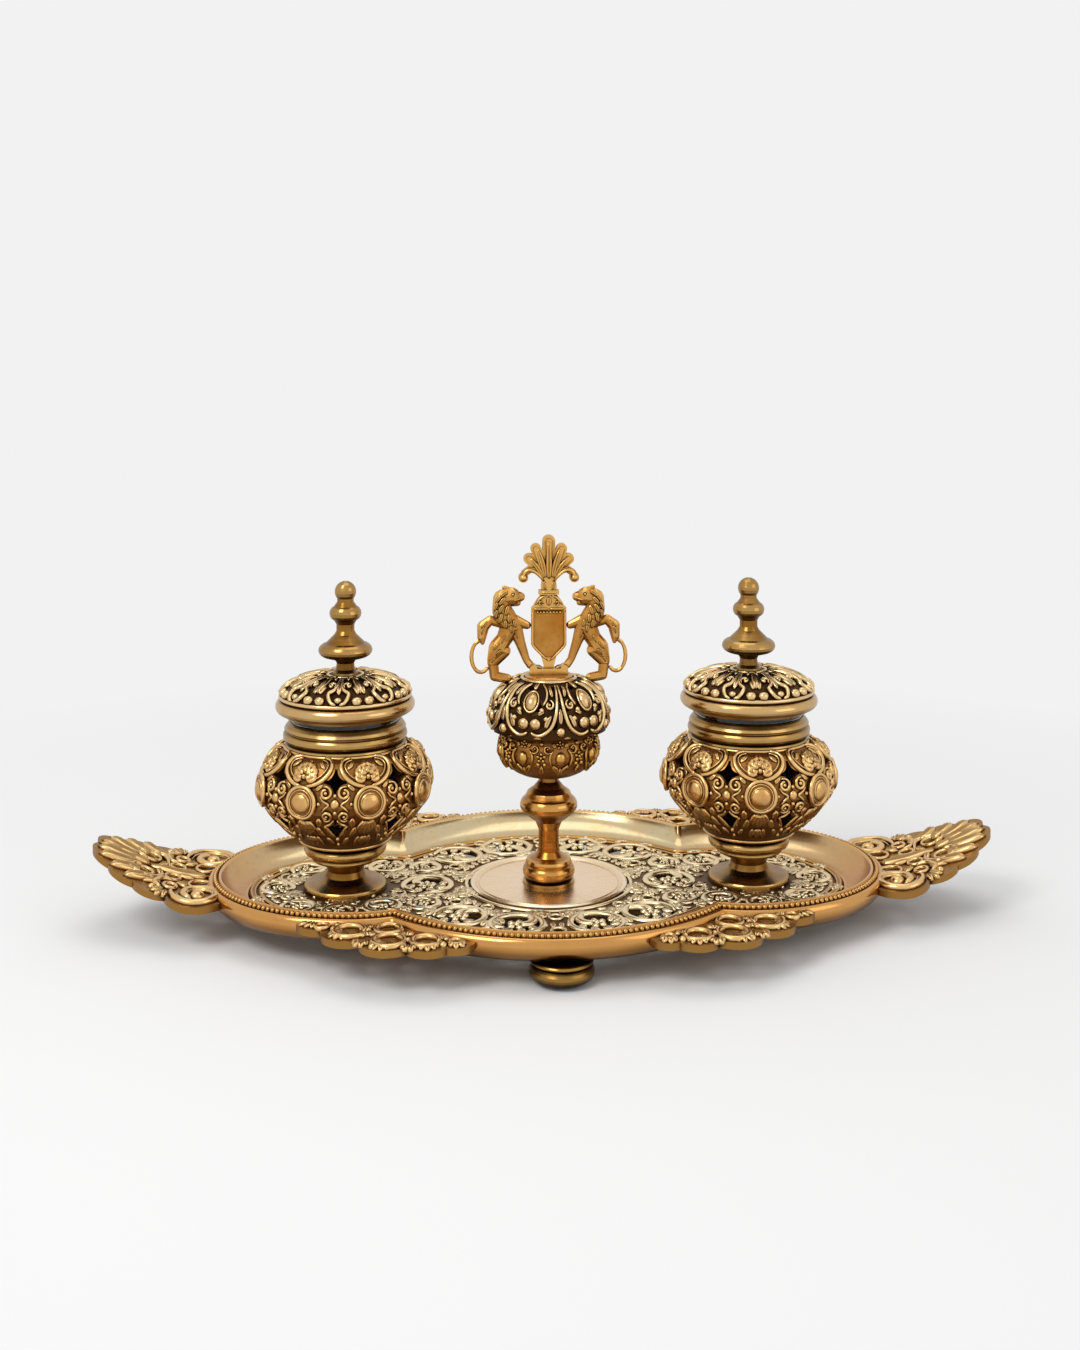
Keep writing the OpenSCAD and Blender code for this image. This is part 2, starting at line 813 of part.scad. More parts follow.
// Stem: a rod holds base, knop and cup together, with a nut under the tray
cup_z = floor_z + stem_h;
stem_bottom = floor_z + plate_t;
cup_floor_t = 3;
nut_h = 3;
module stem_rod() {
    color("dimgray")
    translate([0, 0, under_z - nut_h - 0.6])
        cylinder(r = rod_r, h = cup_z + cup_floor_t - under_z + nut_h + 0.6);
}
module stem_nut() {
    color("dimgray")
    translate([0, 0, under_z - nut_h])
        difference() {
            cylinder(r = 4.6, h = nut_h, $fn = 6);
            translate([0, 0, -1])
                cylinder(r = rod_r + fit_gap, h = nut_h + 2);
        }
}
knop_z = floor_z + 32;
module stem() {
    color("darkgoldenrod")
    rotate_extrude()
    polygon(concat(
        [[rod_r + fit_gap, stem_bottom], [stem_base_r - 0.2, stem_bottom]],
        [[stem_base_r - 0.2, floor_z + 2]],
        arc(stem_base_r - 2.6, floor_z + 5.4, 2.6, 3.2, -65, 60, 8),
        [[stem_base_r - 1.2, floor_z + 8.9], [stem_base_r - 1.6, floor_z + 10.2]],
        [[stem_r + 1.8, floor_z + 11.2]],
        [[stem_r + 0.3, floor_z + 13.4], [stem_r, floor_z + 17], [stem_r, floor_z + 22]],
        [[stem_r + 1.4, floor_z + 25.4], [stem_r + 3.6, knop_z - 5]],
        arc(stem_knop_r - 3.6, knop_z, 3.6, 3.6, -60, 60, 8),
        [[stem_knop_r - 2.2, knop_z + 3.6], [stem_knop_r - 3, knop_z + 5.4]],
        [[stem_knop_r - 5.4, knop_z + 7.1], [stem_r, knop_z + 9.6]],
        [[stem_r, cup_z - 0.8], [stem_r + 0.5, cup_z], [rod_r + fit_gap, cup_z]]
    ));
}

// Shallow cup on the stem
cup_lip_z = cup_z + cup_h;
cup_lip_r = cup_r - 2.8;
function cup_line(inset) = concat(
    [[stem_r + 1.6 - min(inset, 0.5), cup_z]],
    arc(stem_r + 1.6 - inset, cup_z + 11.5, cup_r - stem_r - 1.6, 11.5 - 1.4 * inset, -75, 0, 7),
    [[cup_r - 0.5 - inset, cup_z + 14], [cup_r - 1.5 - inset, cup_z + 16.5]]
);
module cup() {
    inner = cup_line(cup_wall);
    color("saddlebrown")
    rotate_extrude()
    polygon(concat(
        [[rod_r + fit_gap, cup_z]],
        cup_line(0),
        [[cup_lip_r, cup_lip_z], [cup_lip_r - cup_wall, cup_lip_z]],
        [for (i = [len(inner) - 1:-1:2]) [inner[i][0], max(inner[i][1], cup_z + cup_floor_t)]],
        [[rod_r + fit_gap, cup_z + cup_floor_t]]
    ));
}

// Openwork cover: a seat ring, a pierced shell and a cap that carries the crest
seat_z = cup_lip_z + rest_gap;
seat_t = 1.6;
seat_in = cup_lip_r - cup_wall - slide_gap;
seat_out = cover_r - cover_t - fit_gap;
seat_wall = 1.5;
seat_drop = 2.2;
cover_z = seat_z + 1.2;
cover_top_z = cover_z + cover_h;
cap_r = 9.9;
cap_t = 1.6;
module cover_seat() {
    color("saddlebrown")
    rotate_extrude()
    polygon([
        [seat_in - seat_wall, seat_z - seat_drop], [seat_in, seat_z - seat_drop], [seat_in, seat_z],
        [seat_out, seat_z], [seat_out, seat_z + seat_t], [seat_in - seat_wall, seat_z + seat_t]
    ]);
}
function cover_line(r, top, n) = [
    for (i = [0:n])
        let (a = 80 * i / n)
        [mix(r, top, pow((1 - cos(a)) / (1 - cos(80)), 1.15)), cover_z + 3 + (cover_h - 3) * sin(a) / sin(80)]
];
module cover() {
    outer = cover_line(cover_r, cap_r, 8);
    inner = cover_line(cover_r - cover_t, cap_r - 1, 8);
    color("tan")
    difference() {
        rotate_extrude()
            polygon(concat(
                [[cover_r - cover_t, cover_z - 1.2], [cover_r, cover_z - 1.2]],
                outer,
                [[rod_r, cover_top_z], [rod_r, cover_top_z - cover_t]],
                [for (i = [8:-1:0]) [inner[i][0], inner[i][1] - min(cover_t, 0.2 * i)]]
            ));
        for (i = [0:cover_repeats - 1])
            rotate([0, 0, 360 * i / cover_repeats]) {
                rotate([0, 0, 180 / cover_repeats])
                    translate([cover_r - 3, 0, cover_z - 2])
                        rotate([0, 90, 0])
                            cylinder(r = 2, h = 5);
                translate([cover_r - 5, 0, cover_z + 4.6])
                    rotate([0, 90, 0])
                        cylinder(r = 1.9, h = 8);
                rotate([0, 0, 180 / cover_repeats])
                    translate([cover_r - 8, 0, cover_z + 9.4])
                        rotate([0, 75, 0])
                            cylinder(r = 1.6, h = 9);
                translate([cover_r - 8.6, 0, cover_z + 10])
                    cylinder(r = 1.3, h = 9);
            }
    }
}
module cover_cap() {
    color("goldenrod")
    rotate_extrude()
    polygon([
        [0, cover_top_z - cover_t - 1], [rod_r, cover_top_z - cover_t - 1], [rod_r, cover_top_z],
        [cap_r, cover_top_z], [cap_r - 0.3, cover_top_z + cap_t - 0.5], [cap_r - 1, cover_top_z + cap_t],
        [0, cover_top_z + cap_t]
    ]);
}

// Crest: everything stands in one plane on the cap
crest_z = cover_top_z + cap_t;
ribbon_h = 2.4;
ribbon_half_w = 7.7;
shield_z = crest_z + 4.2;
shield_top_z = shield_z + shield_h;
pediment_h = 5.2;
module plate_xz(t) {
    rotate([90, 0, 0])
        linear_extrude(t, center = true)
            children();
}
ribbon_t = 5;
ribbon_curl_r = 1.5;
module ribbon_plate(t) {
    translate([0, 0, crest_z])
        plate_xz(t) {
            translate([-ribbon_half_w, 0])
                square([2 * ribbon_half_w, ribbon_h]);
            for (s = [-1, 1])
                translate([s * (ribbon_half_w - ribbon_curl_r), ribbon_h])
                    circle(r = ribbon_curl_r);
        }
}
module ribbon() {
    color("goldenrod")
    ribbon_plate(ribbon_t);
}
shield_point_h = 5.7;
shield_border = 1.1;
shield_sink = 0.45;
function shield_line(inset) =
    let (w = shield_half_w - inset, h = shield_point_h)
    [
        [0, 1.25 * inset], [0.8 * w, h + 0.35 * inset], [w, h + 2 + 0.2 * inset], [w, shield_h - inset],
        [-w, shield_h - inset], [-w, h + 2 + 0.2 * inset], [-0.8 * w, h + 0.35 * inset]
    ];
module shield_plate(t) {
    translate([0, 0, shield_z])
        plate_xz(t)
            polygon(shield_line(0));
}
module shield() {
    color("peru") {
        difference() {
            shield_plate(shield_t);
            for (s = [-1, 1])
                translate([0, s * shield_t, shield_z])
                    plate_xz(shield_t + 2 * shield_sink)
                        polygon(shield_line(shield_border));
        }
        translate([0, 0, crest_z + ribbon_h])
            plate_xz(shield_t)
                polygon([[-1.8, 0], [1.8, 0], [3, 4.4], [-3, 4.4]]);
        translate([0, 0, shield_top_z])
            plate_xz(shield_t)
                polygon([
                    [-shield_half_w + 0.4, 0], [shield_half_w - 0.4, 0], [4.6, 3.4], [3, pediment_h],
                    [-3, pediment_h], [-4.6, 3.4]
                ]);
    }
}
// Leaves of the palmette from their root to their tip, [x, height, radius], right half
palmette_leaves = [
    [[0, 5, 2.6], [0, 21.4, 2.6]],
    [[0.8, 6, 2.2], [5.2, 18.4, 2.2]],
    [[1, 8, 2], [8, 14.4, 2.2]],
    [[1.6, 8.8, 1.6], [7.2, 10.4, 1.4]],
    [[7.2, 10.4, 1.4], [9.8, 8.6, 1.4]],
    [[0, 3.2, 3.2], [0, 5, 2.9]]
];
palmette_ball = [10.3, 6.8, 2];
palmette_foot = [4.1, 1.8];
palmette_t = 3;
palmette_rib_t = 1.2;
palmette_rib = 0.45;
// The palmette's flat shape, with its leaves at a share of their width
module palmette_shape(share) {
    k = [palmette_half_w / 12.3, palmette_h / 24];
    for (s = [-1, 1]) {
        for (leaf = palmette_leaves)
            hull()
                for (end = leaf)
                    translate([s * k[0] * end[0], k[1] * end[1]])
                        circle(r = k[1] * end[2] * share, $fn = 20);
        translate([s * k[0] * palmette_ball[0], k[1] * palmette_ball[1]])
            circle(r = k[0] * palmette_ball[2] * (share + 1) / 2, $fn = 20);
    }
    translate([-k[0] * palmette_foot[0], 0])
        square([2 * k[0] * palmette_foot[0], k[1] * palmette_foot[1]]);
}
module palmette() {
    color("goldenrod")
    translate([0, 0, shield_top_z + pediment_h]) {
        plate_xz(palmette_t)
            palmette_shape(1);
        plate_xz(palmette_t + palmette_rib_t)
            palmette_shape(palmette_rib);
    }
}

// A rampant lion as limbs between rounded joints:
// [out from the side of the shield, height above the cap, radius]
lion_limbs = [
    [[8, 31.2, 3.8], [11.4, 30.6, 3.6]],
    [[7.8, 31.4, 2.6], [4.3, 31.1, 1.9]],
    [[8, 29.4, 2.2], [5.4, 28.7, 1.3]],
    [[9.6, 34, 1.3], [11, 35, 0.8]],
    [[11.6, 30.4, 3.8], [11.8, 26, 4]],
    [[11.8, 26, 4], [10.2, 22.4, 4.6]],
    [[10.2, 22.4, 4.6], [8.2, 19.4, 4.2]],
    [[8.2, 19.4, 4.2], [10.8, 14.2, 3.3]],
    [[10.8, 14.2, 3.3], [13.4, 10.6, 3.8]],
    [[13.4, 10.6, 3.8], [10.9, 9.4, 2.7]],
    [[10.9, 9.4, 2.7], [15.4, 4.8, 2.4]],
    [[13.4, 10.6, 3.8], [15.6, 5.6, 2.2]],
    [[15.4, 4.8, 2.2], [14.8, -0.6, 2]],
    [[14.8, -0.8, 2], [9.6, -1.8, 1.9]],
    [[6.8, 19.2, 3.2], [4.4, 12.6, 2.1]],
    [[4.4, 12.6, 2.1], [1.9, 5.6, 1.5]],
    [[1.9, 5.6, 1.5], [0.4, 3.6, 1.6]],
    [[6.4, 21.4, 2.6], [1.6, 19.6, 1.6]],
    [[13, 20.6, 1.8], [16.6, 21.8, 1.9]],
    [[16.6, 21.8, 1.9], [19.4, 19.2, 2.5]],
    [[19.4, 19.2, 2.5], [19.9, 15.2, 1.9]],
    [[19.9, 15.2, 1.9], [19.6, 12.8, 0.9]]
];
// The tail ends in a thin loop: [out from the shield, height, half width, half height, thickness]
tail_loop = [20.3, 7.2, 3.8, 6.4, 0.8];
tail_steps = 12;
lion_k = lion_h / 35;
function lion_at(p) = [shield_half_w + lion_k * p[0], 0, crest_z + lion_k * p[1]];
function tail_at(i) =
    let (a = 95 - 225 * i / tail_steps)
    lion_at([tail_loop[0] + tail_loop[2] * cos(a), tail_loop[1] + tail_loop[3] * sin(a)]);
cut_reach = 20;
module lion() {
    difference() {
        scale([1, lion_depth, 1])
            union() {
                for (limb = lion_limbs)
                    hull()
                        for (end = limb)
                            translate(lion_at(end))
                                sphere(r = lion_k * end[2], $fn = 12);
                for (i = [0:tail_steps - 1])
                    hull()
                        for (j = [i, i + 1])
                            translate(tail_at(j))
                                sphere(r = lion_k * tail_loop[4], $fn = 6);
            }
        ribbon_plate(cut_reach);
        shield_plate(cut_reach);
        rotate_extrude($fn = 48)
            polygon(concat([[0, cover_z]], cover_line(cover_r, cap_r, 8), [[0, cover_top_z]]));
    }
}
module right_lion() {
    color("peru")
    lion();
}
module left_lion() {
    color("peru")
    mirror([1, 0, 0])
        lion();
}

tray_rim();
rim_beading();
floor_fret();
floor_moulding();
medallion();
left_wing();
right_wing();
front_left_bracket();
front_right_bracket();
back_left_bracket();
back_right_bracket();
front_foot();
back_foot();
left_foot();
right_foot();
left_pot_stud();
left_pot_stand();
left_pot_body();
left_pot_collar();
left_pot_liner();
left_lid_rim();
left_lid_dome();
left_lid_finial();
right_pot_stud();
right_pot_stand();
right_pot_body();
right_pot_collar();
right_pot_liner();
right_lid_rim();
right_lid_dome();
right_lid_finial();
stem_rod();
stem_nut();
stem();
cup();
cover_seat();
cover();
cover_cap();
shield();
ribbon();
palmette();
left_lion();
right_lion();
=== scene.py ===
"""Desk inkstand in gilt brass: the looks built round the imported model.

Everything is in metres in the model's own frame. The tray runs along X, the front faces -Y and the
desk top is at Z = 0. The sizes below are in millimetres, as a maker would write them.
"""

import logging
import math
from bisect import bisect_right
from dataclasses import astuple, dataclass, field
from enum import Enum
from functools import partial
from typing import Callable, Sequence

import bmesh
import bpy
from mathutils import Matrix, Vector


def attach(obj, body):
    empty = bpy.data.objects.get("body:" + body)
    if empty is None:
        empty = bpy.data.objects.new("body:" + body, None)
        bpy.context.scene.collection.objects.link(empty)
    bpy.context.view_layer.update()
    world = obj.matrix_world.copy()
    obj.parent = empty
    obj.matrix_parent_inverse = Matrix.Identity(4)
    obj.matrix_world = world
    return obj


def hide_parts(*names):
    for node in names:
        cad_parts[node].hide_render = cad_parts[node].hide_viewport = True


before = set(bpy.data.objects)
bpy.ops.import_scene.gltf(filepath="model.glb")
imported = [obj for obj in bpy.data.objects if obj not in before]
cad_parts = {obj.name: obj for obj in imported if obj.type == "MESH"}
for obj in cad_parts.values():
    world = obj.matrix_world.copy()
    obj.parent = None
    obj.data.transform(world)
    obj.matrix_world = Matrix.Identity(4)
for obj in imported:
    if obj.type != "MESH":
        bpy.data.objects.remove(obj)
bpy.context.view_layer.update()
MM = 0.001
LOG = logging.getLogger("inkstand")

Colour = tuple[float, float, float]
Spot = tuple[float, float]
Place = Callable[[float, float, float], Vector]


class Way(Enum):
    """Turning sense of a scroll, seen from the face of the metal."""

    LEFT = 1
    RIGHT = -1


class Body(Enum):
    """The bodies of the model that pieces ride on."""

    STAND = "stand"
    LEFT_LINER = "left_liner"
    LEFT_LID = "left_lid"
    RIGHT_LINER = "right_liner"
    RIGHT_LID = "right_lid"
    COVER = "crested_cover"


def mix(a: float, b: float, t: float) -> float:
    """Value at the share t of the way from a to b."""
    return a + (b - a) * t


def from_hex(code: str) -> Colour:
    """Linear colour of a six digit display colour.

    Args:
        code: The colour as six hexadecimal digits.

    Returns:
        Red, green and blue as the shader takes them.
    """
    values = [int(code[i : i + 2], 16) / 255 for i in (0, 2, 4)]
    return tuple(v / 12.92 if v <= 0.04045 else ((v + 0.055) / 1.055) ** 2.4 for v in values)


class Graph:
    """Short hand for laying shader nodes in a tree."""

    def __init__(self, tree: bpy.types.NodeTree) -> None:
        """Keeps the tree that the nodes go into."""
        self.tree = tree

    def add(self, kind: str, **settings: object) -> bpy.types.Node:
        """Adds a node.

        Args:
            kind: Blender's name of the node type, without its ShaderNode start.
            settings: Attributes, or inputs by name with underscores for spaces.

        Returns:
            The new node.
        """
        node = self.tree.nodes.new("ShaderNode" + kind)
        for name, value in settings.items():
            socket = name.replace("_", " ")
            if hasattr(node, name):
                setattr(node, name, value)
            elif isinstance(value, bpy.types.NodeSocket):
                self.tree.links.new(value, node.inputs[socket])
            else:
                node.inputs[socket].default_value = value
        return node

    def math(self, operation: str, a: object, b: object = 0.0, clamp: bool = False) -> bpy.types.NodeSocket:
        """Adds a Math node and returns its output.

        Args:
            operation: Name of the operation.
            a: First value or socket.
            b: Second value or socket.
            clamp: Whether the result is held between 0 and 1.

        Returns:
            The result's socket.
        """
        node = self.tree.nodes.new("ShaderNodeMath")
        node.operation = operation
        node.use_clamp = clamp
        for slot, value in zip(node.inputs, (a, b)):
            if isinstance(value, bpy.types.NodeSocket):
                self.tree.links.new(value, slot)
            else:
                slot.default_value = value
        return node.outputs[0]

    def blend(self, factor: object, a: object, b: object) -> bpy.types.NodeSocket:
        """Adds a colour Mix node and returns its output.

        Args:
            factor: Amount of b, a value or a socket.
            a: First colour or socket.
            b: Second colour or socket.

        Returns:
            The mixed colour's socket.
        """
        node = self.tree.nodes.new("ShaderNodeMix")
        node.data_type = "RGBA"
        for slot, value in zip((node.inputs[0], node.inputs[6], node.inputs[7]), (factor, a, b)):
            if isinstance(value, bpy.types.NodeSocket):
                self.tree.links.new(value, slot)
            else:
                slot.default_value = value
        return node.outputs[2]

    def ramp(self, value: object, low: float, high: float) -> bpy.types.NodeSocket:
        """Stretches the span from low to high over 0 to 1, and returns the output."""
        return self.add("MapRange", Value=value, From_Min=low, From_Max=high).outputs[0]


def group_tree(name: str, inputs: dict[str, object], outputs: dict[str, str]) -> tuple[Graph, object, object]:
    """Starts a shader node group.

    Args:
        name: Name of the group.
        inputs: Name of each input, and its default value.
        outputs: Name of each output, and its socket type.

    Returns:
        The graph inside the group, its input node and its output node.
    """
    tree = bpy.data.node_groups.new(name, "ShaderNodeTree")
    for label, value in inputs.items():
        kind = "NodeSocketFloat" if isinstance(value, float) else "NodeSocketColor"
        kind = "NodeSocketVector" if value is None else kind
        socket = tree.interface.new_socket(label, in_out="INPUT", socket_type=kind)
        if value is not None:
            socket.default_value = value
    for label, kind in outputs.items():
        tree.interface.new_socket(label, in_out="OUTPUT", socket_type=kind)
    graph = Graph(tree)
    return graph, tree.nodes.new("NodeGroupInput"), tree.nodes.new("NodeGroupOutput")


class PatinaAndPaintedLightGroup:
    """Node group: gilt metal that is dark in its hollows from dirt and painted shade, bright on its edges from
    wear and painted highlight, darker still where painted shade is fed in, and mottled between.
    """

    # spans of noise that become patches and specks, and of openness that becomes a dark hollow of dirt and
    # painted shade
    PATCHES = (0.36, 0.66)
    SPECKS = (0.52, 0.72)
    HOLLOWS = (0.3, 0.86)
    # how dark a speck is, how bright an edge is from wear and painted highlight, how ragged the border of a
    # dark hollow is, and its fall off
    SPECK = 0.45
    RUB_AND_HIGHLIGHT = 0.85
    RAGGED = 0.35
    FALL = 1.15
    # how much rougher the grain makes the metal, and how much smoother an edge is
    GRAIN_ROUGH = 0.16
    EDGE_SMOOTH = 0.08
    tree: bpy.types.NodeTree | None = None

    @classmethod
    def get(cls) -> bpy.types.NodeTree:
        """Returns the group, built on its first use."""
        if cls.tree is None:
            cls.tree = cls.build()
        return cls.tree

    @classmethod
    def build(cls) -> bpy.types.NodeTree:
        """Lays the group's nodes.

        Returns:
            The node group.
        """
        graph, inp, out = group_tree(
            "patina_and_painted_light",
            {
                "Vector": None,
                "Openness": 1.0,
                "Edge": 0.0,
                "Painted Shade": 0.0,
                "Lathe": 0.0,
                "Body": (0.5, 0.3, 0.1, 1.0),
                "Wear And Highlight": (0.8, 0.6, 0.3, 1.0),
                "Dirt And Shade": (0.05, 0.02, 0.01, 1.0),
                "Mottle": 0.5,
                "Smooth": 0.25,
                "Rough": 0.5,
            },
            {"Color": "NodeSocketColor", "Roughness": "NodeSocketFloat", "Height": "NodeSocketFloat"},
        )
        o = inp.outputs
        broad = graph.add("TexNoise", Vector=o["Vector"], Scale=55.0, Detail=3.0, Roughness=0.6)
        fine = graph.add("TexNoise", Vector=o["Vector"], Scale=420.0, Detail=4.0, Roughness=0.65)
        grain = graph.add("TexNoise", Vector=o["Vector"], Scale=2600.0, Detail=2.0, Roughness=0.6)
        mottle = graph.math("MULTIPLY", graph.ramp(broad.outputs[0], *cls.PATCHES), o["Mottle"])
        tone = graph.blend(mottle, o["Body"], o["Wear And Highlight"])
        speck = graph.math("MULTIPLY", graph.ramp(fine.outputs[0], *cls.SPECKS), o["Mottle"])
        tone = graph.blend(graph.math("MULTIPLY", speck, cls.SPECK), tone, o["Dirt And Shade"])
        # edges take the bright tone: worn metal and painted highlight
        tone = graph.blend(graph.math("MULTIPLY", o["Edge"], cls.RUB_AND_HIGHLIGHT, clamp=True), tone, o["Wear And Highlight"])
        uneven = graph.math("SUBTRACT", fine.outputs[0], 0.5)
        wobble = graph.math("MULTIPLY_ADD", uneven, cls.RAGGED)
        graph.tree.links.new(o["Openness"], wobble.node.inputs[2])
        # closed places darken to the dark tone: dirt, and painted shade in recesses and under overhangs
        closed = graph.math("SUBTRACT", 1.0, graph.ramp(wobble, *cls.HOLLOWS), clamp=True)
        dark = graph.math("POWER", closed, cls.FALL, clamp=True)
        # painted shade of undersides and of surfaces seen edge on joins the dark hollows
        dark = graph.math("MAXIMUM", dark, o["Painted Shade"])
        tone = graph.blend(dark, tone, o["Dirt And Shade"])
        rough = graph.math("ADD", graph.math("MULTIPLY", fine.outputs[0], cls.GRAIN_ROUGH), o["Smooth"])
        rough = graph.math("SUBTRACT", rough, graph.math("MULTIPLY", o["Edge"], cls.EDGE_SMOOTH))
        span = graph.add("Mix", data_type="FLOAT")
        graph.tree.links.new(dark, span.inputs[0])
        graph.tree.links.new(rough, span.inputs[2])
        graph.tree.links.new(o["Rough"], span.inputs[3])
        lines = graph.add("TexWave", bands_direction="Z", Vector=o["Vector"], Scale=260.0, Distortion=0.6)
        lines.inputs["Detail"].default_value = 1.0
        turned = graph.math("MULTIPLY", lines.outputs["Fac"], o["Lathe"])
        pits = graph.math("MULTIPLY", fine.outputs[0], 0.8)
        sand = graph.math("MULTIPLY", grain.outputs[0], 0.25)
        height = graph.math("ADD", graph.math("ADD", pits, sand), turned)
        for label, socket in (("Color", tone), ("Roughness", span.outputs[0]), ("Height", height)):
            graph.tree.links.new(socket, out.inputs[label])
        return graph.tree


@dataclass(frozen=True)
class Brass:
    """A gilt brass finish: its three tones, its gloss and how far its hollows darken.

    The tones are the body colour, the bright tone of edges, which is worn metal and painted highlight, and
    the dark tone, which is the dirt of hollows and also painted shade in hollows, on undersides and on
    surfaces seen edge on. A far tone, where there is one, takes the body's place behind the middle of the
    tray, as a painted reflection.
    """

    # spans of sharpness that count as an edge for wear and painted highlight, of facing down that count as an
    # underside for painted shade, and the place in metres where the far tone, a painted reflection, comes in
    EDGES = (0.5, 0.56)
    SHADED_UNDERSIDES = (-0.1, 0.75)
    FAR_M = (-0.01, 0.05)

    name: str
    body: str
    wear_and_highlight: str
    dirt_and_shade: str
    mottle: float = 0.5
    smooth: float = 0.16
    rough: float = 0.5
    reach_mm: float = 3.0
    bump_mm: float = 0.03
    # darkness of the painted shade on undersides, and on surfaces seen edge on
    under: float = 0.3
    edge_on_shade: float = 0.3
    lathe: float = 0.0
    far: str = ""

    def material(self) -> bpy.types.Material:
        """Returns the finish as a material, built on its first use.

        Returns:
            The Blender material.
        """
        found = bpy.data.materials.get(self.name)
        if found:
            return found
        mat = bpy.data.materials.new(self.name)
        mat.use_nodes = True
        graph = Graph(mat.node_tree)
        shader = mat.node_tree.nodes["Principled BSDF"]
        coords = graph.add("TexCoord")
        # occlusion darkens hollows: dirt, and painted shade in recesses and under overhangs
        occlusion = graph.add("AmbientOcclusion", samples=8, Distance=self.reach_mm * MM)
        shape = graph.add("NewGeometry")
        # sharp edges brighten: worn metal and painted highlight
        edge = graph.ramp(shape.outputs["Pointiness"], *self.EDGES)
        # painted shade on surfaces that face down and on surfaces seen edge on
        facing = graph.add("SeparateXYZ", Vector=coords.outputs["Normal"])
        down = graph.math("MULTIPLY", facing.outputs["Z"], -1.0)
        under = graph.math("MULTIPLY", graph.ramp(down, *self.SHADED_UNDERSIDES), self.under)
        edge_on = graph.add("LayerWeight", Blend=0.3)
        edge_on_shade = graph.math("MULTIPLY", edge_on.outputs["Facing"], self.edge_on_shade)
        under = graph.math("MAXIMUM", under, edge_on_shade)
        body = (*from_hex(self.body), 1.0)
        # far tone behind the middle of the tray: a painted reflection
        if self.far:
            spot = graph.add("SeparateXYZ", Vector=coords.outputs["Object"])
            behind = graph.ramp(spot.outputs["Y"], *self.FAR_M)
            body = graph.blend(behind, body, (*from_hex(self.far), 1.0))
        patina_and_painted_light = graph.add("Group", node_tree=PatinaAndPaintedLightGroup.get())
        values = {
            "Vector": coords.outputs["Object"],
            "Openness": occlusion.outputs["AO"],
            "Edge": edge,
            "Painted Shade": under,
            "Lathe": self.lathe,
            "Body": body,
            "Wear And Highlight": (*from_hex(self.wear_and_highlight), 1.0),
            "Dirt And Shade": (*from_hex(self.dirt_and_shade), 1.0),
            "Mottle": self.mottle,
            "Smooth": self.smooth,
            "Rough": self.rough,
        }
        for label, value in values.items():
            if isinstance(value, bpy.types.NodeSocket):
                mat.node_tree.links.new(value, patina_and_painted_light.inputs[label])
            else:
                patina_and_painted_light.inputs[label].default_value = value
        bump = graph.add("Bump", Strength=0.6, Distance=self.bump_mm * MM, Height=patina_and_painted_light.outputs["Height"])
        mat.node_tree.links.new(patina_and_painted_light.outputs["Color"], shader.inputs["Base Color"])
        mat.node_tree.links.new(patina_and_painted_light.outputs["Roughness"], shader.inputs["Roughness"])
        mat.node_tree.links.new(bump.outputs[0], shader.inputs["Normal"])
        shader.inputs["Metallic"].default_value = 1.0
        return mat


@dataclass(frozen=True)
class PressedGlass:
    """Clear pressed glass of the ink liners, faintly green and stained with old ink."""

    name: str = "liner_glass"
    deep: tuple[float, float, float, float] = (0.30, 0.34, 0.31, 1.0)
    thin: tuple[float, float, float, float] = (0.5, 0.53, 0.49, 1.0)
    rough: float = 0.12
    wave_m: float = 0.0002
    ior: float = 1.5

    def material(self) -> bpy.types.Material:
        """Returns the finish as a material, built on its first use.

        Returns:
            The Blender material.
        """
        found = bpy.data.materials.get(self.name)
        if found:
            return found
        mat = bpy.data.materials.new(self.name)
        mat.use_nodes = True
        graph = Graph(mat.node_tree)
        shader = mat.node_tree.nodes["Principled BSDF"]
        coords = graph.add("TexCoord")
        waves = graph.add("TexNoise", Vector=coords.outputs["Object"], Scale=120.0, Detail=2.0)
        tint = graph.blend(waves.outputs[0], self.deep, self.thin)
        rough = graph.math("MULTIPLY", waves.outputs[0], self.rough)
        bump = graph.add("Bump", Strength=0.3, Distance=self.wave_m, Height=waves.outputs[0])
        mat.node_tree.links.new(tint, shader.inputs["Base Color"])
        mat.node_tree.links.new(rough, shader.inputs["Roughness"])
        mat.node_tree.links.new(bump.outputs[0], shader.inputs["Normal"])
        shader.inputs["Transmission Weight"].default_value = 1.0
        shader.inputs["IOR"].default_value = self.ior
        return mat


# name, body tone, bright tone of edges (wear and painted highlight) and dark tone (dirt and painted shade),
# mottle, gloss when smooth and rough, reach of the dark hollows (dirt and painted shade), then bump height,
# darkness of the painted shade on undersides and on surfaces seen edge on, and lathe lines
TRAY = Brass("plate_gilt", "F2D2AC", "F8E4C8", "8A6A44", 0.1, 0.2, 0.42, 3.0, edge_on_shade=0.2)
# cove: its paler far tone behind the middle of the tray is a painted reflection
COVE = Brass("cove_brass", "C48642", "E0AE6C", "6E4A20", 0.3, 0.13, 0.3, 3.0, under=0.7, far="D2C39C")
LIP = Brass("lip_brass", "A06C30", "D0A05C", "40260E", 0.5, 0.18, 0.42, 3.0, under=0.7)
FRET = Brass("fret_brass", "ECBE84", "FCE8BC", "341C0A", 0.55, 0.24, 0.5, 2.0)
# dark sheet under the floor's openwork: painted shadow of the piercings
FRET_SHADOW = Brass("fret_painted_shadow", "4E3419", "725028", "140B04", 0.4, 0.45, 0.7, 3.0)
SCROLL = Brass("scroll_gilt", "C48C48", "EEC688", "34190A", 0.55, 0.24, 0.5, 2.2, under=0.6)
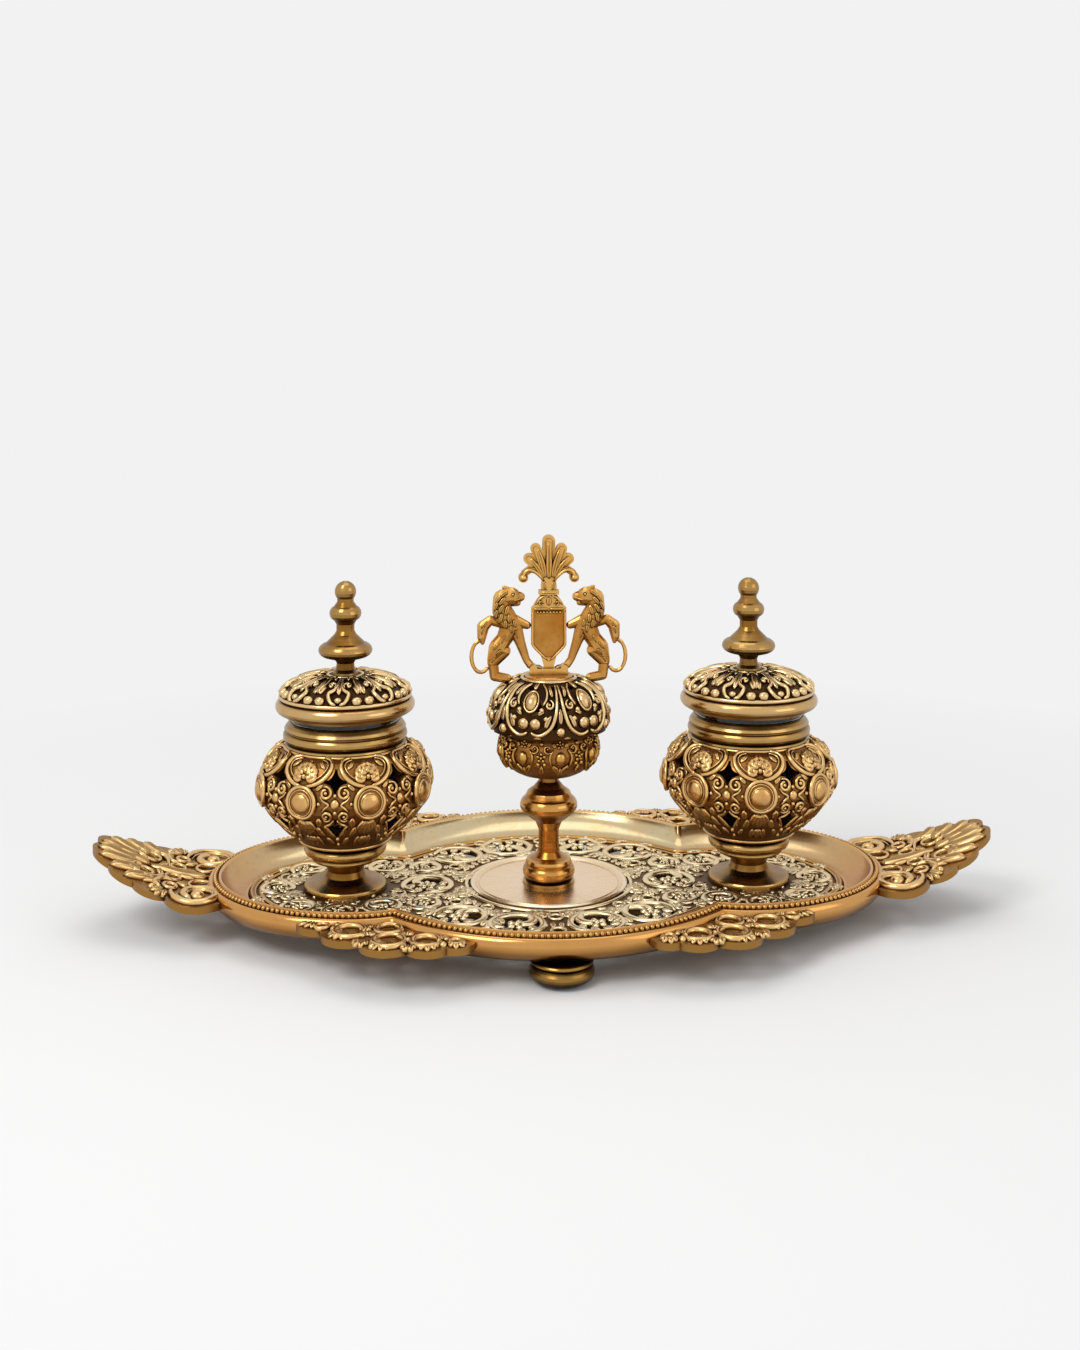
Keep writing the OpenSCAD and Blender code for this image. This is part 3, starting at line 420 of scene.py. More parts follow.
# darker plate under the openwork of wings and brackets: painted shadow of the piercings
SCROLL_SHADOW = Brass("scroll_painted_shadow", "7C5424", "A87C40", "1A0E05", 0.5, 0.34, 0.6, 3.0, under=0.7)
RIM = Brass("rim_gilt", "B4864A", "EECB90", "2A1808", 0.35, 0.12, 0.4, 6.0, 0.03, 0.8, 0.4, 0.4)
STEM = Brass("stem_gilt", "B07430", "F0BC6C", "1E1004", 0.35, 0.12, 0.4, 9.0, 0.03, 0.7, 0.6, 0.4)
# feet: dark body tone and the strongest painted underside and edge-on shade, standing in for the shade under
# the tray
FOOT = Brass("foot_bronze", "6E4C22", "B48C4C", "140A04", 0.5, 0.2, 0.45, 9.0, under=0.95, edge_on_shade=0.7)
TURNED = Brass("turned_gilt", "98692C", "E4BE78", "1E1004", 0.35, 0.12, 0.4, 9.0, 0.03, 0.9, 0.75, 0.4)
POT = Brass("pot_bronze", "C48846", "F0C482", "281405", 0.6, 0.2, 0.5, 2.2, under=0.6, edge_on_shade=0.45)
# darker ground under the pots' openwork: painted shadow of the piercings
POT_SHADOW = Brass("pot_painted_shadow", "8E5E2E", "B58244", "1C0E05", 0.5, 0.3, 0.55, 3.0, under=0.6, edge_on_shade=0.5)
# near black ground inside the openwork lids and cover: painted shadow
VOID_SHADOW = Brass("void_painted_shadow", "2E1E0F", "4A3018", "0A0502", 0.4, 0.45, 0.7, 3.0)
COVER_GILT = Brass("cover_gilt", "C49254", "F0CF98", "26150A", 0.6, 0.18, 0.5, 2.0, under=0.5, edge_on_shade=0.4)
CUP_RELIEF = Brass("cup_bronze", "905C20", "DCAA5C", "1E1004", 0.6, 0.24, 0.5, 2.0, under=0.7, edge_on_shade=0.5)
CREST = Brass("crest_gilt", "BA7A30", "F0BC6A", "200F04", 0.4, 0.22, 0.5, 2.4, under=0.75, edge_on_shade=0.55)
IRON = Brass("black_iron", "2A2420", "4A4038", "120E0C", 0.5, 0.45, 0.7, 3.0)
GLASS = PressedGlass()


@dataclass
class View:
    """The photograph's camera: level, a little left of the middle, framed low with shift."""

    place_mm: tuple[float, float, float] = (-42.3, -616.6, 219.9)
    turn_deg: float = -3.6
    lens: float = 40.8
    sensor: float = 36.0
    shift_y: float = -0.2272
    near_m: float = 0.01

    def build(self) -> None:
        """Makes the camera and sets it as the scene's."""
        data = bpy.data.cameras.new("camera")
        data.lens = self.lens
        data.sensor_width = self.sensor
        data.shift_y = self.shift_y
        data.clip_start = self.near_m
        camera = bpy.data.objects.new("camera", data)
        bpy.context.scene.collection.objects.link(camera)
        camera.location = [v * MM for v in self.place_mm]
        camera.rotation_euler = (math.radians(90), 0, math.radians(self.turn_deg))
        bpy.context.scene.camera = camera


@dataclass
class Studio:
    """Pale floor, pale world and soft lamps."""

    floor_half_m: float = 6.0
    # level of the backdrop, reflectance and roughness of the floor near the tray, and level of the light
    pale: float = 0.887
    floor_tone: float = 0.96
    floor_rough: float = 0.9
    light: float = 0.62
    # distances from the middle between which the floor passes into the backdrop
    fade_m: tuple[float, float] = (0.2, 0.5)
    aim: tuple[float, float, float] = (0.0, 0.0, 0.06)
    lamps: dict[str, tuple] = field(
        default_factory=lambda: {
            # place and side in metres, power in watts
            "key": ((-0.55, -0.6, 0.85), 0.45, 3.8),
            "fill": ((0.8, -0.55, 0.5), 0.6, 0.9),
            "top": ((0.0, 0.25, 1.1), 0.7, 1.5),
        }
    )

    def build(self) -> None:
        """Makes the floor, the world and the lamps."""
        self.floor()
        self.world()
        for name, (place, size, power) in self.lamps.items():
            self.lamp(name, Vector(place), size, power)
        bpy.context.scene.view_settings.view_transform = "Standard"

    def floor(self) -> None:
        """Makes the pale floor."""
        mesh = bpy.data.meshes.new("floor")
        bm = bmesh.new()
        bmesh.ops.create_grid(bm, x_segments=1, y_segments=1, size=self.floor_half_m)
        bm.to_mesh(mesh)
        bm.free()
        floor = bpy.data.objects.new("floor", mesh)
        bpy.context.scene.collection.objects.link(floor)
        mat = bpy.data.materials.new("pale_floor")
        mat.use_nodes = True
        graph = Graph(mat.node_tree)
        shader = mat.node_tree.nodes["Principled BSDF"]
        shader.inputs["Base Color"].default_value = (*[self.floor_tone] * 3, 1)
        shader.inputs["Roughness"].default_value = self.floor_rough
        shader.inputs["Specular IOR Level"].default_value = 0.0
        coords = graph.add("TexCoord")
        away = graph.add("VectorMath", operation="LENGTH")
        mat.node_tree.links.new(coords.outputs["Object"], away.inputs[0])
        rays = graph.add("LightPath")
        seen = graph.math("ADD", rays.outputs["Is Camera Ray"], rays.outputs["Is Glossy Ray"], clamp=True)
        seen = graph.math("ADD", seen, rays.outputs["Is Transmission Ray"], clamp=True)
        far = graph.math("MULTIPLY", graph.ramp(away.outputs["Value"], *self.fade_m), seen)
        pale = graph.add("Emission", Color=(*[self.pale] * 3, 1), Strength=1.0)
        join = graph.add("MixShader")
        out = mat.node_tree.nodes["Material Output"]
        mat.node_tree.links.new(far, join.inputs[0])
        mat.node_tree.links.new(shader.outputs[0], join.inputs[1])
        mat.node_tree.links.new(pale.outputs[0], join.inputs[2])
        mat.node_tree.links.new(join.outputs[0], out.inputs["Surface"])
        mesh.materials.append(mat)

    def world(self) -> None:
        """Makes the world: a plain pale backdrop, and a little less than that as light."""
        world = bpy.data.worlds.new("studio")
        world.use_nodes = True
        bpy.context.scene.world = world
        graph = Graph(world.node_tree)
        back = world.node_tree.nodes["Background"]
        back.inputs["Color"].default_value = (*[self.light] * 3, 1)
        back.inputs["Strength"].default_value = 1.0
        seen = graph.add("Background", Color=(*[self.pale] * 3, 1), Strength=1.0)
        rays = graph.add("LightPath")
        shown = graph.math("MAXIMUM", rays.outputs["Is Camera Ray"], rays.outputs["Is Glossy Ray"])
        shown = graph.math("MAXIMUM", shown, rays.outputs["Is Transmission Ray"])
        join = graph.add("MixShader")
        out = world.node_tree.nodes["World Output"]
        world.node_tree.links.new(shown, join.inputs[0])
        world.node_tree.links.new(back.outputs[0], join.inputs[1])
        world.node_tree.links.new(seen.outputs[0], join.inputs[2])
        world.node_tree.links.new(join.outputs[0], out.inputs["Surface"])

    def lamp(self, name: str, place: Vector, size: float, power: float) -> None:
        """Makes a soft square lamp that points at the inkstand.

        Args:
            name: Name of the lamp.
            place: Where it hangs, in metres.
            size: Its side, in metres.
            power: Its power in watts.
        """
        data = bpy.data.lights.new(name, "AREA")
        data.size = size
        data.energy = power
        lamp = bpy.data.objects.new(name, data)
        bpy.context.scene.collection.objects.link(lamp)
        lamp.location = place
        lamp.rotation_euler = (place - Vector(self.aim)).to_track_quat("Z", "Y").to_euler()


def dress(nodes: Sequence[str], finish: Brass | PressedGlass) -> None:
    """Gives CAD nodes a finish.

    Args:
        nodes: Names of the nodes.
        finish: The finish that they get.
    """
    for name in nodes:
        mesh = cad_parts[name].data
        mesh.materials.clear()
        mesh.materials.append(finish.material())


def hashed(value: float) -> float:
    """Repeatable number from 0 to 1 for a value, for small differences between like pieces."""
    raw = math.sin(value * 12.9898) * 43758.5453
    return raw - math.floor(raw)


def volute(
    centre: Spot, radius: float, start: float, way: Way, turns: float = 1.1, close: float = 0.28
) -> list[Vector]:
    """Spiral path that winds in towards a centre.

    Args:
        centre: The eye of the spiral.
        radius: Its outer radius.
        start: Angle in degrees where it starts.
        way: The sense that it winds in.
        turns: How many turns it makes.
        close: Share of the radius that is left at its inner end.

    Returns:
        The points of the path.
    """
    steps = max(14, int(22 * turns))
    path = []
    for i in range(steps + 1):
        t = i / steps
        angle = math.radians(start + way.value * 360 * turns * t)
        r = radius * mix(1.0, close, t**0.85)
        path.append(Vector((centre[0] + r * math.cos(angle), centre[1] + r * math.sin(angle))))
    return path


def through(*spots: Spot, steps: int = 6) -> list[Vector]:
    """Smooth path through spots.

    Args:
        spots: What it passes through, in millimetres.
        steps: Pieces between one spot and the next.

    Returns:
        The points of the path.
    """
    p = [Vector(s) for s in spots]
    p = [2 * p[0] - p[1], *p, 2 * p[-1] - p[-2]]
    path = []
    for a, b, c, d in zip(p, p[1:], p[2:], p[3:]):
        for i in range(steps):
            t = i / steps
            straight, bend = 2 * b + (c - a) * t, (2 * a - 5 * b + 4 * c - d) * t**2
            path.append(0.5 * (straight + bend + (3 * b - a - 3 * c + d) * t**3))
    return path + [p[-2]]


class Relief:
    """Raised ornament, drawn flat once and stamped on a surface wherever it repeats.

    It is drawn with u and v across the surface and w out of it, all in millimetres. A place function
    turns these into a point of the model.
    """

    STRAP = ((-1.0, -0.3), (-0.86, 0.55), (-0.4, 1.0), (0.4, 1.0), (0.86, 0.55), (1.0, -0.3))
    LEAF = ((-1.0, -0.3), (-0.8, 0.6), (-0.42, 1.0), (0.0, 0.5), (0.42, 1.0), (0.8, 0.6), (1.0, -0.3))
    LEAF_STEPS = 8
    # distance in millimetres within which points weld
    WELD = 0.002
    # how much sooner than its width a strap reaches its full height
    SOONER = 1.4
    # how abruptly a strap's ends round off, and the share of its run that each end tapers over
    NOSE = 12
    TAPER = 0.35
    # share of a half turn that a boss takes from its top to its underside
    BULGE = 0.62

    def __init__(self) -> None:
        """Starts with nothing drawn and nothing stamped."""
        self.flat = bmesh.new()
        self.done = bmesh.new()
        self.work = bpy.data.meshes.new("relief_work")

    def patch(self, across: int, around: int, shape: Callable[[float, float], Vector]) -> None:
        """Bends a grid into a closed shape, welds its meeting edges and turns its faces outwards.

        Args:
            across: Steps along the first direction.
            around: Steps along the second direction.
            shape: Gives u, v and w for two shares from 0 to 1.
        """
        part = bmesh.new()
        bmesh.ops.create_grid(part, x_segments=across, y_segments=around, size=1.0)
        for vert in part.verts:
            vert.co = shape((vert.co.x + 1) / 2, (vert.co.y + 1) / 2)
        bmesh.ops.remove_doubles(part, verts=part.verts[:], dist=self.WELD)
        bmesh.ops.recalc_face_normals(part, faces=part.faces[:])
        part.to_mesh(self.work)
        part.free()
        self.flat.from_mesh(self.work)

    def stamp(
        self, places: Sequence[Place], mirrored: bool = False, both: bool = False, keep: bool = False
    ) -> None:
        """Lays the drawing on the surface, and clears it for the next one.

        Args:
            places: One place function for each repeat.
            mirrored: Whether the place functions turn the drawing inside out.
            both: Whether each repeat also gets the drawing's mirror image, with u turned round.
            keep: Whether the drawing stays for another stamping.
        """
        for place in places:
            for side in (1, -1) if both else (1,):
                copy = self.flat.copy()
                for vert in copy.verts:
                    u, v, w = vert.co
                    vert.co = place(side * u, v, w) * MM
                if mirrored != (side < 0):
                    bmesh.ops.reverse_faces(copy, faces=copy.faces[:])
                copy.to_mesh(self.work)
                copy.free()
                self.done.from_mesh(self.work)
        if not keep:
            self.flat.clear()

    def run(
        self,
        path: Sequence[Vector],
        width: float,
        height: float,
        section: Sequence[Spot],
        full: Callable[[float], float],
    ) -> None:
        """Sweeps a section along a path.

        Args:
            path: The flat points that it follows.
            width: Half its width at its fullest.
            height: How far it stands up.
            section: Points across it, as shares of the half width and of the height.
            full: Share of its size for a share of its length.
        """
        count = len(path) - 1
        sides = len(section)

        def shape(s: float, t: float) -> Vector:
            """Point of the sweep."""
            i = min(round(s * count), count)
            run = (path[min(i + 1, count)] - path[max(i - 1, 0)]).normalized()
            across, up = section[round(t * sides) % sides]
            share = full(s)
            off = width * share * across
            rise = height * up * min(1.0, self.SOONER * share)
            return Vector((path[i].x - run.y * off, path[i].y + run.x * off, rise))

        self.patch(count, sides, shape)

    def band(
        self, path: Sequence[Vector], width: float, height: float, start: float = 0.5, end: float = 0.5
    ) -> None:
        """Lays a rounded strap along a path.

        Args:
            path: The flat points that it follows.
            width: Half its width at its fullest.
            height: How far it stands up.
            start: Share of the width at its start.
            end: Share of the width at its end.
        """

        def full(s: float) -> float:
            """Share of the full width at a share of the length."""
            nose = min(1.0, math.sqrt(max(0.0, self.NOSE * min(s, 1 - s))))
            return nose * min(1.0, mix(start, 1.0, s / self.TAPER), mix(end, 1.0, (1 - s) / self.TAPER))

        self.run(path, width, height, self.STRAP, full)

    def leaf(
        self, base: Spot, tip: Spot, width: float, height: float, sway: float = 0.0, blunt: float = 0.75
    ) -> None:
        """Lays a leaf with a groove down its middle.

        Args:
            base: Where it starts.
            tip: Where it ends.
            width: Half its width at its fullest.
            height: How far it stands up.
            sway: How far its middle bows sideways.
            blunt: How blunt its ends are, smaller being blunter.
        """
        a, b = Vector(base), Vector(tip)
        side = Vector((a.y - b.y, b.x - a.x)).normalized()
        n = self.LEAF_STEPS
        path = [a.lerp(b, i / n) + side * (sway * math.sin(math.pi * i / n)) for i in range(n + 1)]

        def full(s: float) -> float:
            """Share of the full width at a share of the length, widest a little before the middle."""
            return math.sin(math.pi * s**0.8) ** blunt if 0 < s < 1 else 0.0

        self.run(path, width, height, self.LEAF, full)

    def boss(
        self,
        centre: Spot,
        radius: float,
        height: float,
        stretch: float = 1.0,
        turn: float = 0.0,
        rings: int = 5,
    ) -> None:
        """Lays a round or oval boss.

        Args:
            centre: Its middle.
            radius: Half its width.
            height: How far it stands up.
            stretch: Its length over its width.
            turn: Angle of its length in degrees.
            rings: Steps from its top to its underside.
        """
        spin = Matrix.Rotation(math.radians(turn), 2)

        def shape(s: float, t: float) -> Vector:
            """Point of the boss."""
            a, b = 2 * math.pi * t, math.pi * s * self.BULGE
            r = radius * math.sin(min(b, math.pi / 2))
            flat = spin @ Vector((r * stretch * math.cos(a), r * math.sin(a)))
            return Vector((centre[0] + flat.x, centre[1] + flat.y, height * math.cos(b)))

        self.patch(rings, 2 * rings + 2, shape)

    def ring(
        self,
        centre: Spot,
        radius: float,
        width: float,
        height: float,
        stretch: float = 1.0,
        steps: int = 24,
    ) -> None:
        """Lays a round or oval ring.

        Args:
            centre: Its middle.
            radius: Radius of the middle of its band.
            width: Half the width of its band.
            height: How far it stands up.
            stretch: Its height over its width.
            steps: Number of steps round it.
        """
        sides = len(self.STRAP)

        def shape(s: float, t: float) -> Vector:
            """Point of the ring."""
            across, up = self.STRAP[round(t * sides) % sides]
            a, r = 2 * math.pi * s, radius + width * across
            return Vector((centre[0] + r * math.cos(a), centre[1] + stretch * r * math.sin(a), height * up))

        self.patch(steps, sides, shape)

    def scroll(
        self,
        centre: Spot,
        radius: float,
        start: float,
        way: Way,
        width: float,
        height: float,
        turns: float = 1.1,
    ) -> None:
        """Lays a scroll that ends in a ball.

        Args:
            centre: Its eye.
            radius: Its outer radius.
            start: Angle in degrees where it starts.
            way: The sense that it winds in.
            width: Half the width of its strap.
            height: How far it stands up.
            turns: How many turns it makes.
        """
        self.band(volute(centre, radius, start, way, turns, 0.42), width, height, 0.6, 0.8)
        self.boss(centre, 0.36 * radius, 1.15 * height, rings=4)

    def flower(self, centre: Spot, radius: float, height: float, petals: int = 6, turn: float = 0.0) -> None:
        """Lays a flower with round petals and a bead at its heart.

        Args:
            centre: Its middle.
            radius: Its outer radius.
            height: How far its bead stands up.
            petals: Number of petals.
            turn: Angle of the first petal in degrees.
        """
        out = 0.62 * radius
        for i in range(petals):
            a = math.radians(turn + 360 * i / petals)
            spot = (centre[0] + out * math.cos(a), centre[1] + out * math.sin(a))
            self.boss(spot, 0.32 * radius, 0.75 * height, 1.2, math.degrees(a), 4)
        self.boss(centre, 0.3 * radius, height, rings=4)

    def spray(
        self,
        centre: Spot,
        radius: float,
        start: float,
        sweep: float,
        leaves: int,
        height: float = 1.1,
        fat: float = 1.0,
    ) -> None:
        """Lays a fan of leaves, the middle one longest.

        Args:
            centre: Where the leaves spring from.
            radius: Reach of the middle leaf.
            start: Angle of the first leaf in degrees.
            sweep: Angle between the first and last leaf.
            leaves: Number of leaves.
            height: How far they stand up.
            fat: Their width, 1 being side by side.
        """
        width = fat * (0.36 * radius * math.radians(abs(sweep) / max(2, leaves)) + 0.35)
        for i in range(leaves):
            t = i / max(1, leaves - 1)
            a = math.radians(start + sweep * t)
            reach = radius * (1 - 0.22 * abs(2 * t - 1))
            base = (centre[0] + 0.1 * radius * math.cos(a), centre[1] + 0.1 * radius * math.sin(a))
            tip = (centre[0] + reach * math.cos(a), centre[1] + reach * math.sin(a))
            self.leaf(base, tip, width, height, blunt=0.6)

    def piece(self, name: str, body: Body, finish: Brass, slot: str, replaces: Sequence[str] = ()) -> None:
        """Makes what was stamped an object that rides on a body.

        Args:
            name: Name of the object.
            body: Body that it rides on.
            finish: Its finish.
            slot: Material slot of the record; not used.
            replaces: CAD nodes that it stands for.
        """
        self.flat.free()
        bpy.data.meshes.remove(self.work)
        for face in self.done.faces:
            face.smooth = True
        mesh = bpy.data.meshes.new(name)
        self.done.to_mesh(mesh)
        self.done.free()
        mesh.materials.append(finish.material())
        piece = bpy.data.objects.new(name, mesh)
        bpy.context.scene.collection.objects.link(piece)
        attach(piece, body.value)
        if replaces:
            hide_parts(*replaces)
        LOG.info("%s: %d faces on %s", name, len(mesh.polygons), body.value)


def as_drawn(u: float, v: float, w: float) -> Vector:
    """Place function of ornament that is drawn where it stands."""
    return Vector((u, v, w))


@dataclass(frozen=True)
class Trefoil:
    """Three lobed outline of the tray, symmetric both ways, in millimetres.

    Each quarter is an arc to the cusp, a piece of an ellipse to the side lobe's widest, and a quarter of
    another ellipse to the end.
    """

    # shares of a quarter's run that the arc and the first ellipse take
    ARC_SHARE = 0.4
    SHOULDER_SHARE = 0.1

    reach: float
    cusp_x: float
    cusp_y: float
    bulge: float
    mid: float
    end: float

    def arc(self) -> float:
        """Radius of the middle lobe's arc."""
        return (self.cusp_x**2 + (self.reach - self.cusp_y) ** 2) / (2 * (self.reach - self.cusp_y))

    def shoulder(self) -> float:
        """Half length of the ellipse that leads to the cusp."""
        return (self.mid - self.cusp_x) / math.sqrt(1 - (self.cusp_y / self.bulge) ** 2)

    def grown(self, by: float) -> "Trefoil":
        """Moves the outline out.

        Args:
            by: How far, in millimetres.

        Returns:
            The larger outline.
        """
        n1 = Vector((self.cusp_x, self.cusp_y - self.reach + self.arc())).normalized()
        slope = (self.cusp_x - self.mid) / self.shoulder() ** 2
        n2 = Vector((slope, self.cusp_y / self.bulge**2)).normalized()
        d = n1.x * n2.y - n1.y * n2.x
        step = Vector(((n2.y - n1.y) / d, (n1.x - n2.x) / d))
        x, y = self.cusp_x + step.x * by, self.cusp_y + step.y * by
        return Trefoil(self.reach + by, x, y, self.bulge + by, self.mid, self.end + by)

    def toward(self, other: "Trefoil", t: float) -> "Trefoil":
        """Outline between this one and another."""
        return Trefoil(*[mix(a, b, t) for a, b in zip(astuple(self), astuple(other))])

    def quarter(self, s: float) -> Vector:
        """Point of the first quarter, from the front of the middle lobe to the end.

        Args:
            s: 0 at the middle, 0.4 at the cusp, 0.5 at the side lobe's widest, 1 at the end.

        Returns:
            The flat point.
        """
        widest = self.ARC_SHARE + self.SHOULDER_SHARE
        if s < self.ARC_SHARE:
            r = self.arc()
            a1 = math.atan2(self.cusp_y - self.reach + r, self.cusp_x)
            a = mix(math.pi / 2, a1, s / self.ARC_SHARE)
            return Vector((r * math.cos(a), self.reach - r + r * math.sin(a)))
        if s < widest:
            b0 = math.pi - math.asin(self.cusp_y / self.bulge)
            b = mix(b0, math.pi / 2, (s - self.ARC_SHARE) / self.SHOULDER_SHARE)
            return Vector((self.mid + self.shoulder() * math.cos(b), self.bulge * math.sin(b)))
        b = mix(math.pi / 2, 0.0, (s - widest) / (1 - widest))
        return Vector((self.mid + (self.end - self.mid) * math.cos(b), self.bulge * math.sin(b)))

    def spot(self, s: float) -> Vector:
        """Point of the whole outline for a share from 0 to 1, counted from the back of the middle lobe."""
        turn, part = divmod((s % 1.0) * 4, 1.0)
        if turn in (1, 3):
            part = 1 - part
        p = self.quarter(part)
        return Vector((p.x if turn < 2 else -p.x, p.y if turn in (0, 3) else -p.y))


@dataclass
class Tray:
    """The three lobed tray: rim, beads, floor, moulding and the round plate."""

    floor_z: float = 12.0
    floor_t: float = 2.0
    rim_h: float = 7.9
    lip_out: float = 5.4
    top: Trefoil = Trefoil(74.7, 60.0, 47.5, 50.5, 74.0, 130.5)
    low: Trefoil = Trefoil(61.0, 58.2, 36.4, 38.5, 76.0, 119.5)
    # angle that the cove turns through, and the points of its run
    cove_deg: float = 72.0
    cove_steps: int = 14
    # distance out from the top outline and height over it of the ledge's points, then the same from the
    # lip's outline and the floor for the points of the underside
    ledge: tuple = (
        (0.35, 0.12), (0.7, 0.0), (1.0, -0.6), (2.1, -1.15), (3.2, -1.4), (3.5, -1.3),
        (3.9, -1.25), (4.4, -1.5), (4.9, -2.1),
    )
    under: tuple = ((0.0, 4.8), (0.12, 3.6), (-0.2, 2.0), (-1.0, 0.7), (-2.0, -0.6), (-3.4, -2.0))
    rim_steps: int = 320
    # the beads, where their row lies, and how finely the row is measured
    bead_r: float = 0.95
    bead_pitch: float = 2.15
    bead_out: float = 2.15
    bead_down: float = 0.85
    bead_steps: int = 4000
    # distance in from the floor's outline and height over the floor of both mouldings' points
    mouldings: tuple = (
        (
            (0.35, 0.0), (0.35, 0.75), (0.9, 1.05), (1.4, 0.6), (1.7, 0.35), (2.0, 0.7), (2.4, 0.85),
            (2.8, 0.5), (2.8, 0.0),
        ),
        ((3.7, -0.2), (3.8, 0.55), (4.3, 0.75), (4.9, 0.75), (5.4, 0.55), (5.5, -0.2)),
    )
    moulding_steps: int = 240
    plate_r: float = 31.5
    # outwards from the plate's edge, half width and height of each ring
    plate_rings: tuple = ((1.6, 0.9, 0.9), (-3.4, 0.3, 1.1))
    pot_x: float = 81.6
    pot_foot_r: float = 18.4
    # grid of small leaves: first spot, pitch, shift of every other row, rows and columns, then how far
    # they keep from the floor's outline and from what is drawn already
    web_start: Spot = (2.4, 1.8)
    web_pitch: Spot = (3.6, 3.3)
    web_shift: float = 1.8
    web_rows: int = 18
    web_columns: int = 36
    web_margin: float = 7.0
    web_gap: float = 1.1
    scroll_band: float = 1.6
    # middle, radius, first angle and sense of each opening
    scrolls: tuple = (
        (15, 46, 11, 250, Way.LEFT),
        (36.5, 36, 10.8, 200, Way.RIGHT),
        (50, 21.5, 6.6, 120, Way.LEFT),
        (66, 23.4, 7.6, 300, Way.RIGHT),
        (82.3, 28, 7, 180, Way.LEFT),
        (98.4, 22.2, 7.2, 150, Way.RIGHT),
    )
    axis_scrolls: tuple = ((49, 0, 10.5, 90, Way.LEFT), (108.4, 0, 7, 90, Way.RIGHT))
    # middle and radius of each small round opening
    drops: tuple = (
        (0, 53.5, 2.2), (0, 39.5, 2), (25.5, 27.5, 1.7), (26.3, 51.5, 1.9), (37, 21, 2.4),
        (60, 9.5, 2), (74.2, 33, 1.3), (90.3, 31.6, 1.3), (103.6, 11.6, 1.5), (57.2, 30.3, 1.2),
    )
    # middle, reach, first angle, sweep and count of each fan of leaves in the webs of the floor
    fans: tuple = (
        (25.4, 41.2, 6.6, 60, 80, 4), (25.6, 36.6, 5.6, 215, 80, 4), (6.5, 33.6, 6.4, 20, 130, 5),
        (46.8, 29.2, 4.8, -10, 120, 4), (45.2, 44.2, 5.2, 20, 130, 5), (57.5, 24.4, 4.4, 60, 100, 4),
        (58.0, 16.6, 5.2, 200, 130, 5), (40.2, 12.6, 4.8, 60, 110, 4), (74.4, 26.4, 4.4, 240, 120, 4),
        (90.2, 25.4, 4.4, 230, 130, 4), (106.6, 21.4, 5.2, 0, 110, 5), (101.0, 9.4, 4.2, 250, 120, 4),
        (65.0, 33.4, 4.0, 30, 120, 4), (82.0, 36.6, 4.0, 20, 140, 4), (98.0, 32.4, 4.2, 10, 120, 4),
        (24.6, 30.6, 3.8, -30, 120, 4), (6.0, 57.4, 4.2, 20, 140, 4), (36.0, 49.4, 4.6, 60, 100, 4),
        (61.2, 12.6, 3.8, 290, 110, 4), (113.0, 12.0, 4.6, -20, 110, 4), (34.4, 20.4, 3.4, 90, 130, 3),
        (81.6, 14.0, 9.0, 30, 120, 7), (29.0, 8.0, 8.0, -20, 100, 5), (97.0, 8.0, 5.6, -30, 100, 5),
    )
    beads_at: tuple = (
        (4.6, 47.5), (25.6, 56.6), (47.8, 37.4), (57.0, 36.0), (74.6, 35.4), (67.6, 14.0), (99.4, 12.6),
        (113.6, 6.4), (33.6, 26.4), (20.4, 57.4), (12.4, 58.6), (70.4, 11.0), (92.6, 11.0), (35.0, 4.0),
    )

    def build(self) -> None:
        """Builds the tray's pieces."""
        self.rim()
        self.beads()
        self.moulding()
        self.floor()
        self.plate()
        # dark plate under the arabesque: painted shadow of the piercings
        dress(["floor_fret"], FRET_SHADOW)

    def place(self, u: float, v: float, w: float, sx: int = 1, sy: int = 1) -> Vector:
        """Point over the floor for a drawing, in the quarter that two signs choose."""
        return Vector((sx * u, sy * v, self.floor_z + w))

    def profile(self) -> list[tuple[Trefoil, float]]:
        """Section of the rim, from the floor outwards and back under.

        Returns:
            The outline and the height of each point.
        """
        edge = self.floor_z + self.rim_h
        turn = math.radians(self.cove_deg)
        rows = [(self.low, self.floor_z - self.floor_t)]
        for i in range(self.cove_steps + 1):
            a = turn * i / self.cove_steps
            rise = self.rim_h * (1 - math.cos(a)) / (1 - math.cos(turn))
            rows.append((self.low.toward(self.top, math.sin(a) / math.sin(turn)), self.floor_z + rise))
        rows += [(self.top.grown(out), edge + z) for out, z in self.ledge]
        rows += [(self.top.grown(self.lip_out + out), self.floor_z + z) for out, z in self.under]
        return rows

    def rim(self) -> None:
        """Sweeps the rim's section round the tray."""
        rows = self.profile()
        count = len(rows)

        def shape(s: float, t: float) -> Vector:
            """Point of the rim."""
            outline, z = rows[round(t * count) % count]
            return outline.spot(s).to_3d() + Vector((0, 0, z))

        relief = Relief()
        relief.patch(self.rim_steps, count, shape)
        relief.stamp([as_drawn])
        relief.piece("cast_rim", Body.STAND, COVE, "tray_brass", ["tray_rim"])

    def beads(self) -> None:
        """Lays the row of beads on the ledge outside the top edge."""
        line = self.top.grown(self.bead_out)
        dense = [line.spot(i / self.bead_steps) for i in range(self.bead_steps + 1)]
        z = self.floor_z + self.rim_h - self.bead_down

        def place(spot: Vector, u: float, v: float, w: float) -> Vector:
            """Point of the bead that stands on a spot."""
            return Vector((spot.x + u, spot.y + v, z + w))

        relief = Relief()
        relief.boss((0, 0), self.bead_r, self.bead_r, rings=4)
        places = []
        run = 0.0
        for a, b in zip(dense, dense[1:]):
            run += (b - a).length
            if run >= self.bead_pitch:
                run -= self.bead_pitch
                places.append(partial(place, b))
        relief.stamp(places)
        relief.piece("beaded_wire", Body.STAND, LIP, "tray_brass", ["rim_beading"])

    def moulding(self) -> None:
        """Lays the double moulding round the floor."""
        relief = Relief()
        for rows in self.mouldings:
            count = len(rows)

